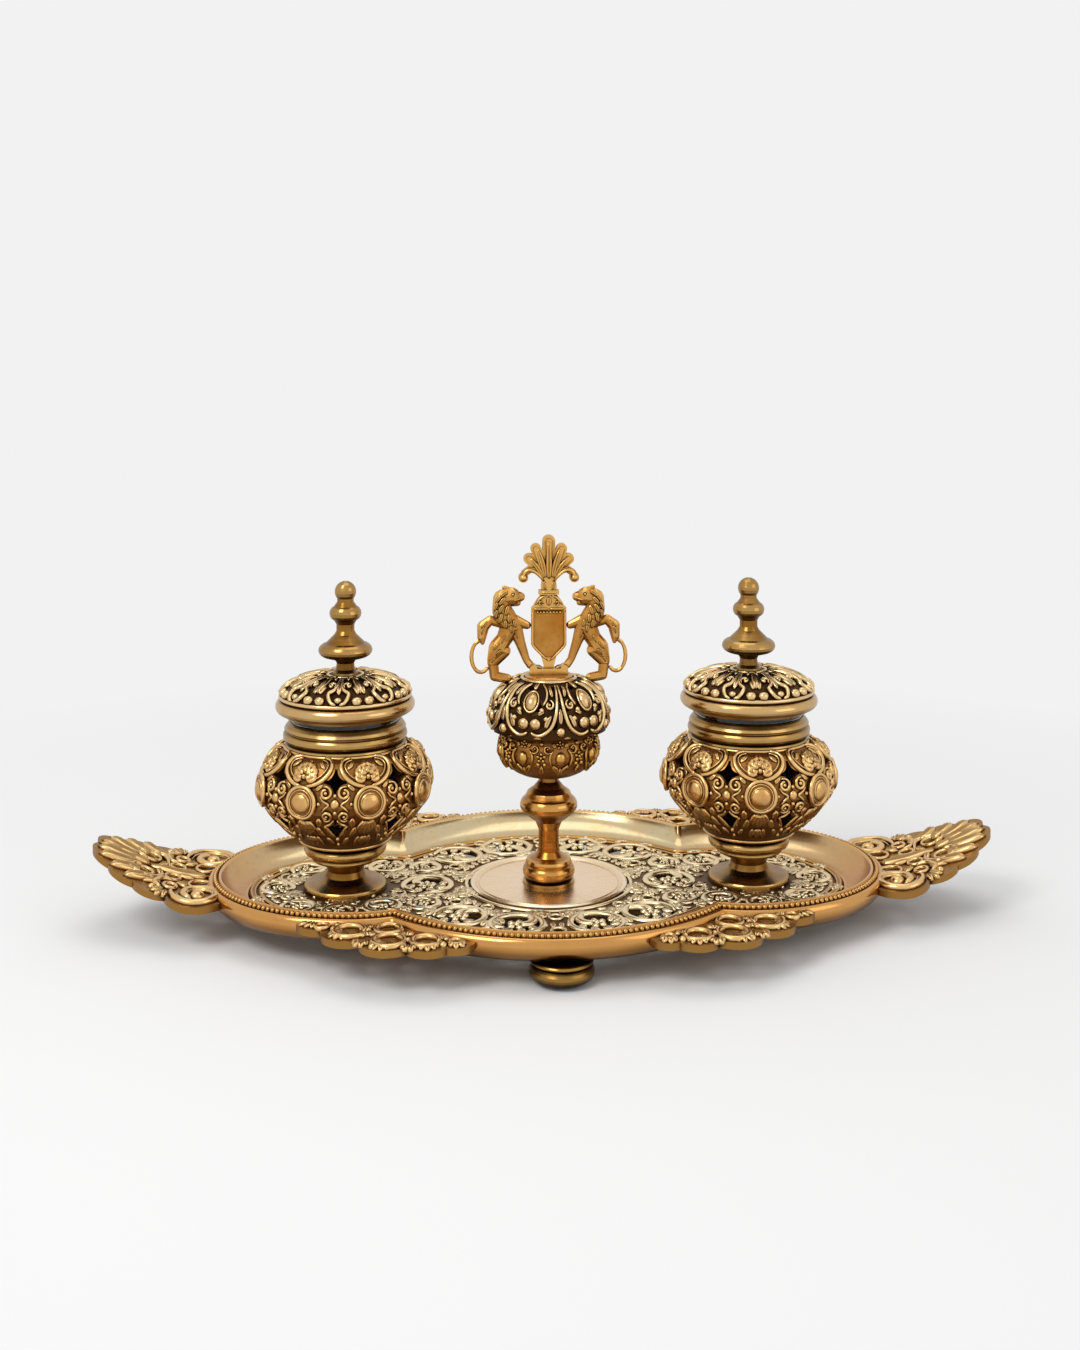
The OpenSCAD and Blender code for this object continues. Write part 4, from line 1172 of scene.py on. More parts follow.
            def shape(s: float, t: float) -> Vector:
                """Point of the moulding."""
                inset, rise = rows[round(t * count) % count]
                return self.low.grown(-inset).spot(s).to_3d() + Vector((0, 0, self.floor_z + rise))

            relief.patch(self.moulding_steps, count, shape)
        relief.stamp([as_drawn])
        relief.piece("floor_mouldings", Body.STAND, LIP, "tray_brass", ["floor_moulding"])

    def plate(self) -> None:
        """Dresses the round plate under the stem, and lays one ring round it and a fine one on it."""
        dress(["medallion"], TRAY)
        relief = Relief()
        for out, width, height in self.plate_rings:
            relief.ring((0, 0), self.plate_r + out, width, height, steps=96)
        relief.stamp([self.place])
        relief.piece("plate_rings", Body.STAND, FRET, "tray_brass")

    def opening(self, relief: Relief, x: float, y: float, r: float, start: float, way: Way) -> None:
        """Frames one opening of the floor and fills it with its curled leaf.

        Args:
            relief: Ornament that it goes into.
            x: Middle of the opening.
            y: Middle of the opening.
            r: Radius of the scroll.
            start: Angle where the leaf springs from.
            way: The sense that it turns.
        """
        hole = r - self.scroll_band
        middle = Vector((x, y))
        # strap round the opening
        strap = volute((x, y), r - 0.7, start + way.value * 200, Way(-way.value), 1.0, 0.96)
        relief.band(strap, 1.45, 1.1, 0.7, 0.9)
        # arm that curls in to the flower
        spin = math.radians(start)
        c = Vector((x + 0.5 * hole * math.cos(spin), y + 0.5 * hole * math.sin(spin)))
        arm = []
        steps = 14
        for i in range(steps + 1):
            a = spin - way.value * math.radians(12 + 156 * i / steps)
            arm.append(c + Vector((math.cos(a), math.sin(a))) * 0.5 * hole)
        relief.band(arm, 0.22 * hole, 1.1, 0.6, 0.9)
        relief.flower((x, y), 0.44 * hole, 1.3, 5, start)
        # leaves that lean in from the strap
        for i in range(5):
            a = math.radians(start + way.value * (70 + 44 * i))
            out = Vector((math.cos(a), math.sin(a)))
            lean = Vector((-out.y, out.x)) * way.value * 0.22 * hole
            tip = middle + out * 0.5 * hole + lean
            relief.leaf(middle + out * 0.98 * hole, tip, 0.2 * hole, 1.0, blunt=0.5)

    def filling(self, relief: Relief) -> None:
        """Fills the plain webs between the openings of one quarter with small leaves that follow the scrolls.

        Args:
            relief: Ornament that they go into.
        """
        line = self.low.grown(-self.web_margin)
        steps = 240
        edge = [line.spot(i / steps) for i in range(steps)]
        rings = [(Vector((x, y)), r) for x, y, r, *_ in (*self.scrolls, *self.axis_scrolls)]
        rings += [(Vector((x, y)), r + 0.8) for x, y, r in self.drops]
        plain = [*rings, (Vector((0, 0)), self.plate_r + 2.6), (Vector((self.pot_x, 0)), self.pot_foot_r)]
        (x0, y0), (dx, dy) = self.web_start, self.web_pitch
        for row in range(self.web_rows):
            for column in range(self.web_columns):
                spot = Vector((x0 + dx * column + self.web_shift * (row % 2), y0 + dy * row))
                rim = min(edge, key=lambda p: (p - spot).length_squared)
                taken = any((spot - c).length < r + self.web_gap for c, r in plain)
                if taken or spot.length > rim.length:
                    continue
                centre, _ = min(rings, key=lambda ring: (ring[0] - spot).length - ring[1])
                out = (spot - centre).normalized()
                along = Vector((-out.y, out.x)) * (1 if row % 2 else -1)
                relief.leaf(spot - along * 2.4, spot + along * 2.2 + out * 0.8, 1.3, 0.8, 0.4)

    def floor(self) -> None:
        """Lays the arabesque of the floor, one quarter stamped four ways."""
        front, turned = partial(self.place, sy=-1), partial(self.place, sx=-1, sy=-1)
        relief = Relief()
        for one in self.scrolls:
            self.opening(relief, *one)
        for x, y, r in self.drops:
            if x > 0:
                relief.ring((x, y), r + 0.55, 0.6, 0.9, steps=14)
        for fan in self.fans:
            relief.spray(fan[:2], 1.15 * fan[2], *fan[3:], 1.0, 1.5)
        for x, y in self.beads_at:
            relief.boss((x, y), 1.25, 1.0, rings=4)
        self.filling(relief)
        relief.stamp([self.place], both=True, keep=True)
        relief.stamp([front], mirrored=True, both=True)
        for one in self.axis_scrolls:
            self.opening(relief, *one)
        relief.stamp([self.place], both=True)
        for x, y, r in self.drops:
            if x == 0:
                relief.ring((x, y), r + 0.55, 0.6, 0.9, steps=14)
        relief.stamp([self.place, turned])
        relief.piece("floor_arabesque", Body.STAND, FRET, "tray_brass")


@dataclass
class Wing:
    """One openwork shell handle that curls up at the tray's end."""

    side: int = 1
    root_x: float = 135.9
    tip_x: float = 180.0
    base_z: float = 14.0
    rise: float = 16.0
    thick: float = 2.6
    # share of the run, distance from the middle and radius of each piercing
    holes: tuple = (
        (0.546, 8.5, 2.8), (0.297, 6, 2.2), (0.286, 15.5, 1.8), (0.048, 9.5, 3.4), (0.762, 4.2, 1.3),
    )
    # share and distance of root and tip, and half width, of the shell's lengthwise lobes
    lobes: tuple = (
        ((0.62, 2.0), (0.97, 4.0), 3.1), ((0.62, 5.4), (0.93, 10.2), 3.1),
        ((0.56, 9.4), (0.81, 15.6), 3.0), ((0.46, 13.0), (0.67, 19.8), 2.8),
    )
    # the same of the short leaves between the piercings
    leaves: tuple = (
        ((0.1, 3.4), (0.3, 3.0), 1.7), ((0.36, 14.6), (0.52, 17.6), 1.7), ((0.14, 14.0), (0.26, 10.6), 1.6),
        ((0.4, 7.0), (0.46, 1.4), 1.5), ((0.02, 14.4), (0.12, 17.4), 1.5),
    )
    # curled leaf with a rolled edge round the middle hole, and the strap beside it
    rolled: tuple = ((0.36, 3.4), (0.44, 12.6), (0.58, 12.9), (0.67, 9.6), (0.64, 5.6), (0.55, 4.8))
    strap: tuple = ((0.27, 9.4), (0.38, 10.6), (0.42, 16.4), (0.34, 20.4))
    # eye of the grooved volute at the root corner
    eye_share: float = 0.308
    eye_in: float = 12.5
    eye_across: float = 21.0

    def height(self, x: float) -> float:
        """Height of the wing's upper face at a distance from the middle."""
        share = max(0.0, (x - self.root_x) / (self.tip_x - self.root_x))
        return self.base_z + self.thick + self.rise * share**1.6

    def place(self, u: float, v: float, w: float) -> Vector:
        """Point of the wing for u across it, v along the tray and w out of its face."""
        slope = (self.height(v + 0.1) - self.height(v - 0.1)) / 0.2
        n = Vector((-slope, 0, 1)).normalized()
        return Vector((self.side * (v + n.x * w), u, self.height(v) + n.z * w))

    def at(self, share: float, across: float) -> Spot:
        """Spot of the drawing for a share of the wing's run and a distance from its middle line."""
        return across, mix(self.root_x, self.tip_x, share)

    def build(self) -> None:
        """Lays the shell, the volutes and the leaves, one half with its mirror image."""
        word = "right" if self.side > 0 else "left"
        # darker plate under the scrolls: painted shadow of the piercings
        dress([f"{word}_wing"], SCROLL_SHADOW)
        relief = Relief()
        at = self.at
        for root, tip, width in self.lobes:
            relief.leaf(at(*root), at(*tip), width, 2.3, 0.5, 0.5)
        relief.band(through(*[at(*spot) for spot in self.rolled]), 1.2, 1.9, 0.5, 0.6)
        relief.band(through(*[at(*spot) for spot in self.strap]), 1.1, 1.7)
        for root, tip, width in self.leaves:
            relief.leaf(at(*root), at(*tip), width, 1.6, 0.4)
        for share, across, r in self.holes:
            relief.ring(at(share, across), r + 0.7, 0.7, 1.3, steps=18)
        eye = (self.eye_across, at(self.eye_share, 0)[1] - self.eye_in)
        relief.band(volute(eye, 11.0, 120, Way.RIGHT, 1.3, 0.42), 1.7, 2.0, 0.5, 0.8)
        relief.band(volute(eye, 8.7, 110, Way.RIGHT, 1.1, 0.45), 0.6, 1.4, 0.5, 0.8)
        relief.boss(eye, 3.0, 2.4)
        relief.spray(at(0.3, 22.0), 6.4, 0, 100, 4, 1.5)
        relief.boss(at(0.42, 20.6), 1.5, 1.6)
        relief.stamp([self.place], mirrored=self.side > 0, both=True)
        # pale leaves down the middle
        relief.leaf(at(-0.02, 0), at(0.56, 0), 3.2, 1.9)
        relief.leaf(at(0.5, 0), at(0.985, 0), 2.2, 2.2, blunt=0.5)
        relief.stamp([self.place], mirrored=self.side > 0)
        relief.piece(f"{word}_wing_scrolls", Body.STAND, SCROLL, "scroll_brass")


@dataclass
class Bracket:
    """Fretted scroll bracket in a notch of the tray's outline."""

    sx: int = 1
    sy: int = 1
    face_z: float = 16.6
    cusp: Spot = (60.0, 47.5)
    # middle, radius and sense of the scrolls, measured from the cusp
    scrolls: tuple = (
        (-11.5, 26.5, 4.4, Way.RIGHT), (1.5, 25.5, 5.2, Way.LEFT),
        (16, 15, 5.2, Way.RIGHT), (2, 14.4, 4.0, Way.LEFT),
    )
    # middle and radius of the plain rings
    rings: tuple = ((-22, 27.5, 2.4), (26.5, 9, 2.5))
    # middle, reach, first angle, sweep and count of each fan of leaves
    fans: tuple = (
        (-12, 28.6, 6.2, 30, 120, 5), (3, 26, 7.8, 10, 110, 6), (17.5, 15.5, 7.8, -10, 110, 6),
        (-22, 28, 5.0, 50, 120, 4), (28.5, 4.5, 7.4, -30, 100, 5), (-4.6, 20.6, 4.8, 240, 140, 4),
        (9.6, 19.6, 4.8, 210, 130, 4), (10.4, 10.0, 4.4, 20, 120, 4), (-17, 25, 4.0, 200, 120, 3),
        (22.6, 8.6, 4.2, 190, 120, 4), (-5.4, 30.2, 4.5, 20, 130, 4), (11.4, 25.0, 4.8, 10, 120, 4),
    )
    balls: tuple = ((-5, 25), (9.5, 14.5), (22, 12), (-17.5, 29.6), (7.4, 29.6), (20.6, 19.4))

    def place(self, u: float, v: float, w: float) -> Vector:
        """Point over the bracket, for a drawing that is measured from the cusp."""
        return Vector((self.sx * (self.cusp[0] + u), self.sy * (self.cusp[1] + v), self.face_z + w))

    def build(self) -> None:
        """Lays scrolls and leaves over the bracket's plate."""
        word = f"{'front' if self.sy < 0 else 'back'}_{'right' if self.sx > 0 else 'left'}"
        # darker plate under the scrolls: painted shadow of the piercings
        dress([f"{word}_bracket"], SCROLL_SHADOW)
        relief = Relief()
        for x, y, r, way in self.scrolls:
            relief.band(volute((x, y), r + 1.2, 200, way, 1.15, 0.8), 1.2, 1.7, 0.4, 0.8)
        for x, y, r in self.rings:
            relief.ring((x, y), r, 0.8, 1.3, steps=16)
        for fan in self.fans:
            relief.spray(fan[:2], *fan[2:], 1.4, 1.2)
        for ball in self.balls:
            relief.boss(ball, 1.5, 1.6, rings=4)
        relief.stamp([self.place], mirrored=self.sx * self.sy < 0)
        relief.piece(f"{word}_bracket_scrolls", Body.STAND, SCROLL, "scroll_brass")


class Skin:
    """Surface turned from a section, with ornament laid on it by angle and by length along the section."""

    HOOP_STEPS = 96

    def __init__(self, section: Sequence[Spot], axis_x: float, middle_r: float, turn: float = 0.0) -> None:
        """Measures the section.

        Args:
            section: Radius and height of its points, from the bottom to the top.
            axis_x: Where the axis stands.
            middle_r: Radius at which widths are true.
            turn: Angle of the ornament's middle from the front, in degrees.
        """
        self.section = [Vector(p) for p in section]
        self.axis_x = axis_x
        self.middle_r = middle_r
        self.turn = turn
        self.runs = [0.0]
        for a, b in zip(self.section, self.section[1:]):
            self.runs.append(self.runs[-1] + (b - a).length)

    @property
    def end(self) -> float:
        """Length of the whole section."""
        return self.runs[-1]

    def at_height(self, z: float) -> float:
        """Length along the section at which it first reaches a height."""
        for i, (a, b) in enumerate(zip(self.section, self.section[1:])):
            if a.y <= z <= b.y and b.y > a.y:
                return mix(self.runs[i], self.runs[i + 1], (z - a.y) / (b.y - a.y))
        return self.end

    def place(self, u: float, v: float, w: float) -> Vector:
        """Point for u round the surface, v along the section and w out of it."""
        v = min(max(v, 0.0), self.end - 1e-4)
        i = bisect_right(self.runs, v) - 1
        a, b = self.section[i], self.section[i + 1]
        p = a.lerp(b, (v - self.runs[i]) / (self.runs[i + 1] - self.runs[i]))
        d = (b - a).normalized()
        r, z = p.x + d.y * w, p.y - d.x * w
        angle = math.radians(self.turn - 90) + u / self.middle_r
        return Vector((self.axis_x + r * math.cos(angle), r * math.sin(angle), z))

    def moved(self, by: float, lift: float, u: float, v: float, w: float) -> Vector:
        """Point of a drawing that is moved round the surface and lifted off it."""
        return self.place(u + by, v, w + lift)

    def repeat(self, count: int, shift: float = 0.0, lift: float = 0.0) -> list[Place]:
        """Place functions for equal repeats round the surface.

        Args:
            count: Number of repeats.
            shift: Share of a repeat that the first is moved by.
            lift: How far the drawing is lifted off the surface.

        Returns:
            One place function for each repeat.
        """
        pitch = 2 * math.pi * self.middle_r / count
        return [partial(self.moved, pitch * (k + shift), lift) for k in range(count)]

    def hoop(self, relief: Relief, v: float, width: float, height: float = 0.9) -> None:
        """Lays a plain hoop right round the surface.

        Args:
            relief: Ornament that it goes into.
            v: Length along the section where it lies.
            width: Half its width.
            height: How far it stands up.
        """
        sides = len(relief.STRAP)

        def shape(s: float, t: float) -> Vector:
            """Point of the hoop, where it stands."""
            across, up = relief.STRAP[round(t * sides) % sides]
            return self.place(2 * math.pi * self.middle_r * s, v + width * across, height * up)

        relief.patch(self.HOOP_STEPS, sides, shape)
        relief.stamp([as_drawn])


@dataclass
class Inkpot:
    """One lidded inkpot: stand, pierced body, collar, glass liner and openwork lid."""

    side: int = 1
    turn: float = 0.0
    axis: float = 81.6
    floor_z: float = 12.0
    stand_h: float = 20.0
    body_h: float = 37.5
    body_r: float = 33.6
    foot_r: float = 17.0
    mouth_r: float = 23.0
    boss_z: float = 54.8
    lid_r: float = 25.8
    lid_top_r: float = 9.0
    lid_top_z: float = 88.7
    dome_h: float = 8.4
    # share of the body's height at its widest, angle that the dome turns through, and points of a run
    belt: float = 0.56
    dome_deg: float = 75.0
    steps: int = 12
    # radius at which widths on the lid are true, and radius of the lid's flat top
    lid_middle_r: float = 20.0
    knob_r: float = 4.8
    repeats: int = 8
    # heart panel over each boss: a broad strap with a fine line inside it
    panel: tuple = ((0.6, 5.9), (3.4, 6.3), (7.0, 7.9), (10.0, 10.8), (11.2, 14.2), (9.8, 17.2), (5.4, 18.8))
    line: tuple = ((0.4, 7.8), (3.2, 8.2), (6.2, 9.6), (8.4, 11.8), (9.4, 14.2), (8.2, 16.2), (5.0, 17.4))
    # link between the paired scrolls
    link: tuple = ((7.2, 3.2), (8.6, 1.2), (10.8, -0.3), (9.2, -1.8), (7.6, -3.6))
    # root, tip, half width, height and sway of the leaves that have a mirror image
    leaves: tuple = (
        ((6.4, -5.8), (5.6, -10.8), 1.5, 1.1, 0.4), ((5.4, 4.6), (8.6, 7.2), 0.9, 0.9, 0.0),
        ((5.2, 16.6), (8.6, 12.6), 1.0, 0.9, -0.4), ((5.0, -10.6), (7.8, -16.6), 1.5, 1.1, -0.6),
        ((7.6, -17.4), (10.6, -22.8), 1.2, 0.9, 0.4), ((2.6, -17.0), (4.0, -24.0), 1.4, 0.9, 0.0),
    )
    # middle and radius of the beads in the lozenge between the scrolls
    beads: tuple = ((0, 3.0, 0.9), (0, -3.4, 0.9), (0, -18.6, 1.1), (0, -22.4, 0.9))

    @property
    def word(self) -> str:
        """Left or right."""
        return "right" if self.side > 0 else "left"

    def build(self) -> None:
        """Dresses the pot's nodes and lays its ornament."""
        w = self.word
        dress([f"{w}_pot_stand", f"{w}_pot_collar", f"{w}_lid_finial"], TURNED)
        dress([f"{w}_lid_rim"], RIM)
        # the body and the lid's dome are dark grounds: painted shadow of the piercings
        dress([f"{w}_pot_body"], POT_SHADOW)
        dress([f"{w}_lid_dome"], VOID_SHADOW)
        dress([f"{w}_pot_liner"], GLASS)
        dress([f"{w}_pot_stud"], IRON)
        self.belly()
        self.lid()

    def belly_section(self) -> list[Spot]:
        """Section of the body's outside.

        Returns:
            Radius and height of its points, from the bottom to the top.
        """
        low = self.floor_z + self.stand_h
        belt = low + self.belt * self.body_h
        top = low + self.body_h
        rows = []
        for i in range(self.steps + 1):
            z = mix(low, belt, i / self.steps)
            swell = 1 - (1 - (z - low) / (belt - low)) ** 1.5
            rows.append((self.foot_r + (self.body_r - self.foot_r) * swell, z))
        for i in range(1, self.steps + 1):
            a = math.pi / 2 * i / self.steps
            r = self.mouth_r + (self.body_r - self.mouth_r) * math.cos(a)
            rows.append((r, belt + (top - belt) * math.sin(a)))
        return rows

    def belly(self) -> None:
        """Lays bosses, heart panels, scrolls and leaves round the body."""
        skin = Skin(self.belly_section(), self.side * self.axis, self.body_r, self.turn)
        b = skin.at_height(self.boss_z)
        half = math.pi * self.body_r / self.repeats
        relief = Relief()
        relief.band(through(*[(x, b + y) for x, y in self.panel], steps=4), 1.0, 1.2, 0.8, 0.8)
        relief.band(through(*[(x, b + y) for x, y in self.line], steps=3), 0.35, 0.7, 1.0, 1.0)
        # paired scrolls between the bosses
        relief.scroll((9.6, b + 3.9), 2.6, 130, Way.RIGHT, 0.7, 1.2, 1.2)
        relief.scroll((9.8, b - 4.8), 2.3, 220, Way.LEFT, 0.65, 1.2, 1.2)
        relief.band(through(*[(x, b + y) for x, y in self.link], steps=4), 0.55, 1.0)
        # straps round the lower star
        for width, spots in (
            (0.55, ((half - 0.6, b - 6.4), (half - 2.2, b - 8.6), (half - 4.6, b - 9.6))),
            (0.65, ((half - 4.8, b - 9.4), (half - 3.4, b - 12.2), (half - 0.7, b - 17.0))),
        ):
            relief.band(through(*spots, steps=5), width, 1.0, 0.7, 0.7)
        for (x0, y0), (x1, y1), width, height, sway in self.leaves:
            relief.leaf((x0, b + y0), (x1, b + y1), width, height, sway)
        relief.boss((6.9, b - 0.2), 0.9, 1.0, rings=4)
        relief.boss((10.6, b - 14.6), 0.8, 0.9, rings=4)
        relief.stamp(skin.repeat(self.repeats), both=True)
        # boss in its double ring, flower above, fan below
        relief.boss((0, b), 4.1, 2.0, rings=7)
        relief.ring((0, b), 5.6, 0.8, 1.2, steps=28)
        relief.ring((0, b), 4.6, 0.35, 0.9, steps=24)
        relief.stamp(skin.repeat(self.repeats, lift=0.9))
        relief.spray((0, b + 9.4), 7.4, -2, 184, 7, 1.5, 1.7)
        relief.spray((0, b + 9.6), 4.6, 14, 152, 4, 2.1, 1.7)
        relief.boss((0, b + 9.4), 1.3, 2.2, rings=4)
        relief.spray((0, b - 6.6), 9.8, 235, 70, 5, 1.2, 1.5)
        relief.spray((0, b - 16.4), 7.6, 250, 40, 3, 1.0, 1.5)
        relief.stamp(skin.repeat(self.repeats))
        # lozenge of beads between the scrolls
        relief.boss((0, b - 0.2), 1.8, 1.5, 1.2, 90)
        for x, y, r in self.beads:
            relief.boss((x, b + y), r, 1.1, rings=4)
        relief.stamp(skin.repeat(self.repeats, 0.5))
        for v, width in ((0.9, 0.7), (skin.end - 1.0, 0.8)):
            skin.hoop(relief, v, width)
        relief.piece(f"{self.word}_belly_ornament", Body.STAND, POT, "pierced_bronze")

    def lid_section(self) -> list[Spot]:
        """Section of the lid's dome.

        Returns:
            Radius and height of its points, from the bottom to the top.
        """
        rows = []
        full = math.radians(self.dome_deg)
        for i in range(self.steps + 1):
            a = full * i / self.steps
            share = (1 - math.cos(a)) / (1 - math.cos(full))
            z = self.lid_top_z + self.dome_h * math.sin(a) / math.sin(full)
            rows.append((mix(self.lid_r, self.lid_top_r, share), z))
        rows.append((self.knob_r, rows[-1][1] + 0.05))
        return rows

    def lid(self) -> None:
        """Lays straps, leaves and beads over the lid's dome."""
        body = Body.RIGHT_LID if self.side > 0 else Body.LEFT_LID
        skin = Skin(self.lid_section(), self.side * self.axis, self.lid_middle_r, self.turn)
        end = skin.end - 1.4
        relief = Relief()
        relief.boss((2.0, 3.0), 1.75, 1.9)
        strap = ((7.6, end - 1.2), (6.6, 9.8), (4.4, 6.4), (5.6, 2.6), (7.6, 1.4))
        relief.band(through(*strap, steps=4), 0.75, 1.5, 0.7, 0.7)
        relief.scroll((4.4, 11.6), 2.0, 300, Way.LEFT, 0.55, 1.4, 1.0)
        relief.leaf((1.2, 6.2), (2.6, 11.4), 1.1, 1.3, 0.6)
        relief.leaf((3.6, end - 5.4), (2.0, end - 1.2), 1.1, 1.1)
        relief.stamp(skin.repeat(self.repeats), both=True)
        relief.leaf((0, 6.4), (0, end - 3.6), 1.5, 1.6, blunt=0.5)
        relief.stamp(skin.repeat(self.repeats))
        relief.boss((0, 3.4), 1.3, 1.6)
        relief.leaf((0, 5.8), (0, end - 4.6), 1.3, 1.3)
        relief.stamp(skin.repeat(self.repeats, 0.5))
        skin.hoop(relief, 0.7, 0.8, 0.8)
        skin.hoop(relief, end - 0.8, 0.7, 0.8)
        relief.piece(f"{self.word}_lid_ornament", body, COVER_GILT, "pierced_bronze")


@dataclass
class Centre:
    """Turned stem, embossed cup and openwork cover."""

    cup_z: float = 56.0
    cup_r: float = 19.8
    cover_z: float = 76.4
    cover_h: float = 18.6
    cover_r: float = 23.6
    cap_r: float = 9.9
    # the cup's bowl: radius at its root, how far it swells, half its height and the points of its run
    cup_root_r: float = 5.7
    cup_swell: float = 14.1
    cup_half_h: float = 11.5
    cup_steps: int = 10
    cup_turn: float = 10.0
    cup_repeats: int = 8
    # the cover: height of its seat, angle that its dome turns through and the points of its run
    seat_h: float = 3.0
    dome_deg: float = 80.0
    dome_steps: int = 14
    cover_turn: float = -22.5
    repeats: int = 6

    def build(self) -> None:
        """Dresses the nodes and lays the ornament."""
        dress(["stem", "cover_seat"], STEM)
        # cup and cover grounds are dark: painted shadow between and behind the ornament
        dress(["cup"], POT_SHADOW)
        dress(["cover"], VOID_SHADOW)
        dress(["stem_rod", "stem_nut"], IRON)
        self.cup()
        self.cover()

    def cup_section(self) -> list[Spot]:
        """Section of the cup's outside.

        Returns:
            Radius and height of its points, from the bottom to the top.
        """
        rows = []
        for i in range(self.cup_steps + 1):
            a = math.radians(mix(-60, 0, i / self.cup_steps))
            z = self.cup_z + self.cup_half_h + self.cup_half_h * math.sin(a)
            rows.append((self.cup_root_r + self.cup_swell * math.cos(a), z))
        return rows + [(19.3, self.cup_z + 14), (18.3, self.cup_z + 16.5), (17.1, self.cup_z + 18.8)]

    def cup(self) -> None:
        """Lays flowers, bead clusters and leaves round the cup."""
        skin = Skin(self.cup_section(), 0.0, self.cup_r, self.cup_turn)
        mid = skin.at_height(self.cup_z + 11)
        half = math.pi * self.cup_r / self.cup_repeats
        relief = Relief()
        relief.leaf((1.0, mid - 6.6), (3.6, mid - 2.6), 1.2, 1.1, 0.5)
        relief.scroll((half - 2.6, mid + 3.6), 1.8, 200, Way.LEFT, 0.5, 1.2, 1.0)
        relief.band(through((2.8, mid + 3.8), (4.4, mid + 0.4), (3.4, mid - 3.6), steps=4), 0.5, 1.1)
        relief.boss((half - 1.3, mid - 2.2), 0.9, 1.2, rings=4)
        relief.leaf((2.0, mid + 4.0), (3.4, mid + 6.4), 0.8, 0.9)
        relief.stamp(skin.repeat(self.cup_repeats), both=True)
        relief.boss((0, mid - 0.2), 2.2, 1.7, 1.3, 90)
        relief.flower((0, mid + 5.2), 1.9, 1.1, 5, 90)
        relief.leaf((0, mid - 8.0), (0, mid - 3.8), 1.3, 1.2)
        relief.stamp(skin.repeat(self.cup_repeats))
        relief.flower((0, mid + 0.4), 2.2, 1.3, 5, 90)
        relief.leaf((0, mid - 7.0), (0, mid - 2.6), 1.1, 1.1)
        relief.boss((0, mid + 5.6), 1.0, 1.1, rings=4)
        relief.stamp(skin.repeat(self.cup_repeats, 0.5))
        relief.piece("cup_embossing", Body.STAND, CUP_RELIEF, "turned_bronze")

    def cover_section(self) -> list[Spot]:
        """Section of the cover's outside.

        Returns:
            Radius and height of its points, from the bottom to the top.
        """
        rows = [(self.cover_r, self.cover_z - 1.2)]
        full = math.radians(self.dome_deg)
        for i in range(self.dome_steps + 1):
            a = full * i / self.dome_steps
            share = ((1 - math.cos(a)) / (1 - math.cos(full))) ** 1.15
            rise = (self.cover_h - self.seat_h) * math.sin(a) / math.sin(full)
            rows.append((mix(self.cover_r, self.cap_r, share), self.cover_z + self.seat_h + rise))
        return rows

    def cover(self) -> None:
        """Lays cabochons, scrolls, beads and straps over the cover."""
        skin = Skin(self.cover_section(), 0.0, self.cover_r, self.cover_turn)
        end = skin.end
        half = math.pi * self.cover_r / self.repeats
        relief = Relief()
        # strap that comes down from the cap, curves under the pair of balls and makes the scalloped edge
        strap = (
            (half - 0.7, end - 2.4), (half - 0.9, 18.0), (half - 1.7, 10.4), (half - 3.8, 4.9),
            (half - 7.4, 2.1), (2.2, 2.2), (0.4, 3.4),
        )
        relief.band(through(*strap, steps=4), 0.85, 1.3, 0.7, 0.7)
        relief.boss((2.4, 6.2), 2.3, 1.9, rings=6)
        # scrolls beside the cabochon
        stalk = ((3.6, end - 3.0), (6.4, 20.4), (6.8, 16.4), (5.2, 12.8))
        relief.band(through(*stalk, steps=5), 0.65, 1.2, 0.7, 0.7)
        relief.boss((4.8, 11.4), 1.15, 1.4, rings=4)
        relief.scroll((8.0, 13.4), 2.0, 100, Way.RIGHT, 0.55, 1.2, 1.0)
        relief.boss((6.6, 8.2), 1.1, 1.2, rings=4)
        relief.leaf((3.4, 9.4), (6.2, 10.8), 0.8, 1.1, 0.4)
        relief.leaf((9.6, 16.6), (8.2, end - 3.4), 1.1, 1.1, 0.4)
        relief.leaf((6.4, 4.4), (9.0, 9.8), 1.1, 1.1, 0.4)
        relief.stamp(skin.repeat(self.repeats), both=True)
        relief.boss((0, 14.9), 2.8, 2.1, 1.4, 90, 7)
        relief.ring((0, 14.9), 3.2, 0.4, 1.1, 1.35, 24)
        relief.leaf((0, 20.2), (0, end - 1.2), 1.5, 1.2)
        relief.stamp(skin.repeat(self.repeats))
        relief.boss((0, 3.2), 1.9, 1.7)
        relief.leaf((0, 5.8), (0, 12.6), 1.0, 1.1)
        relief.stamp(skin.repeat(self.repeats, 0.5))
        skin.hoop(relief, end - 0.8, 0.8, 0.9)
        relief.piece("cover_ornament", Body.COVER, COVER_GILT, "pierced_bronze")


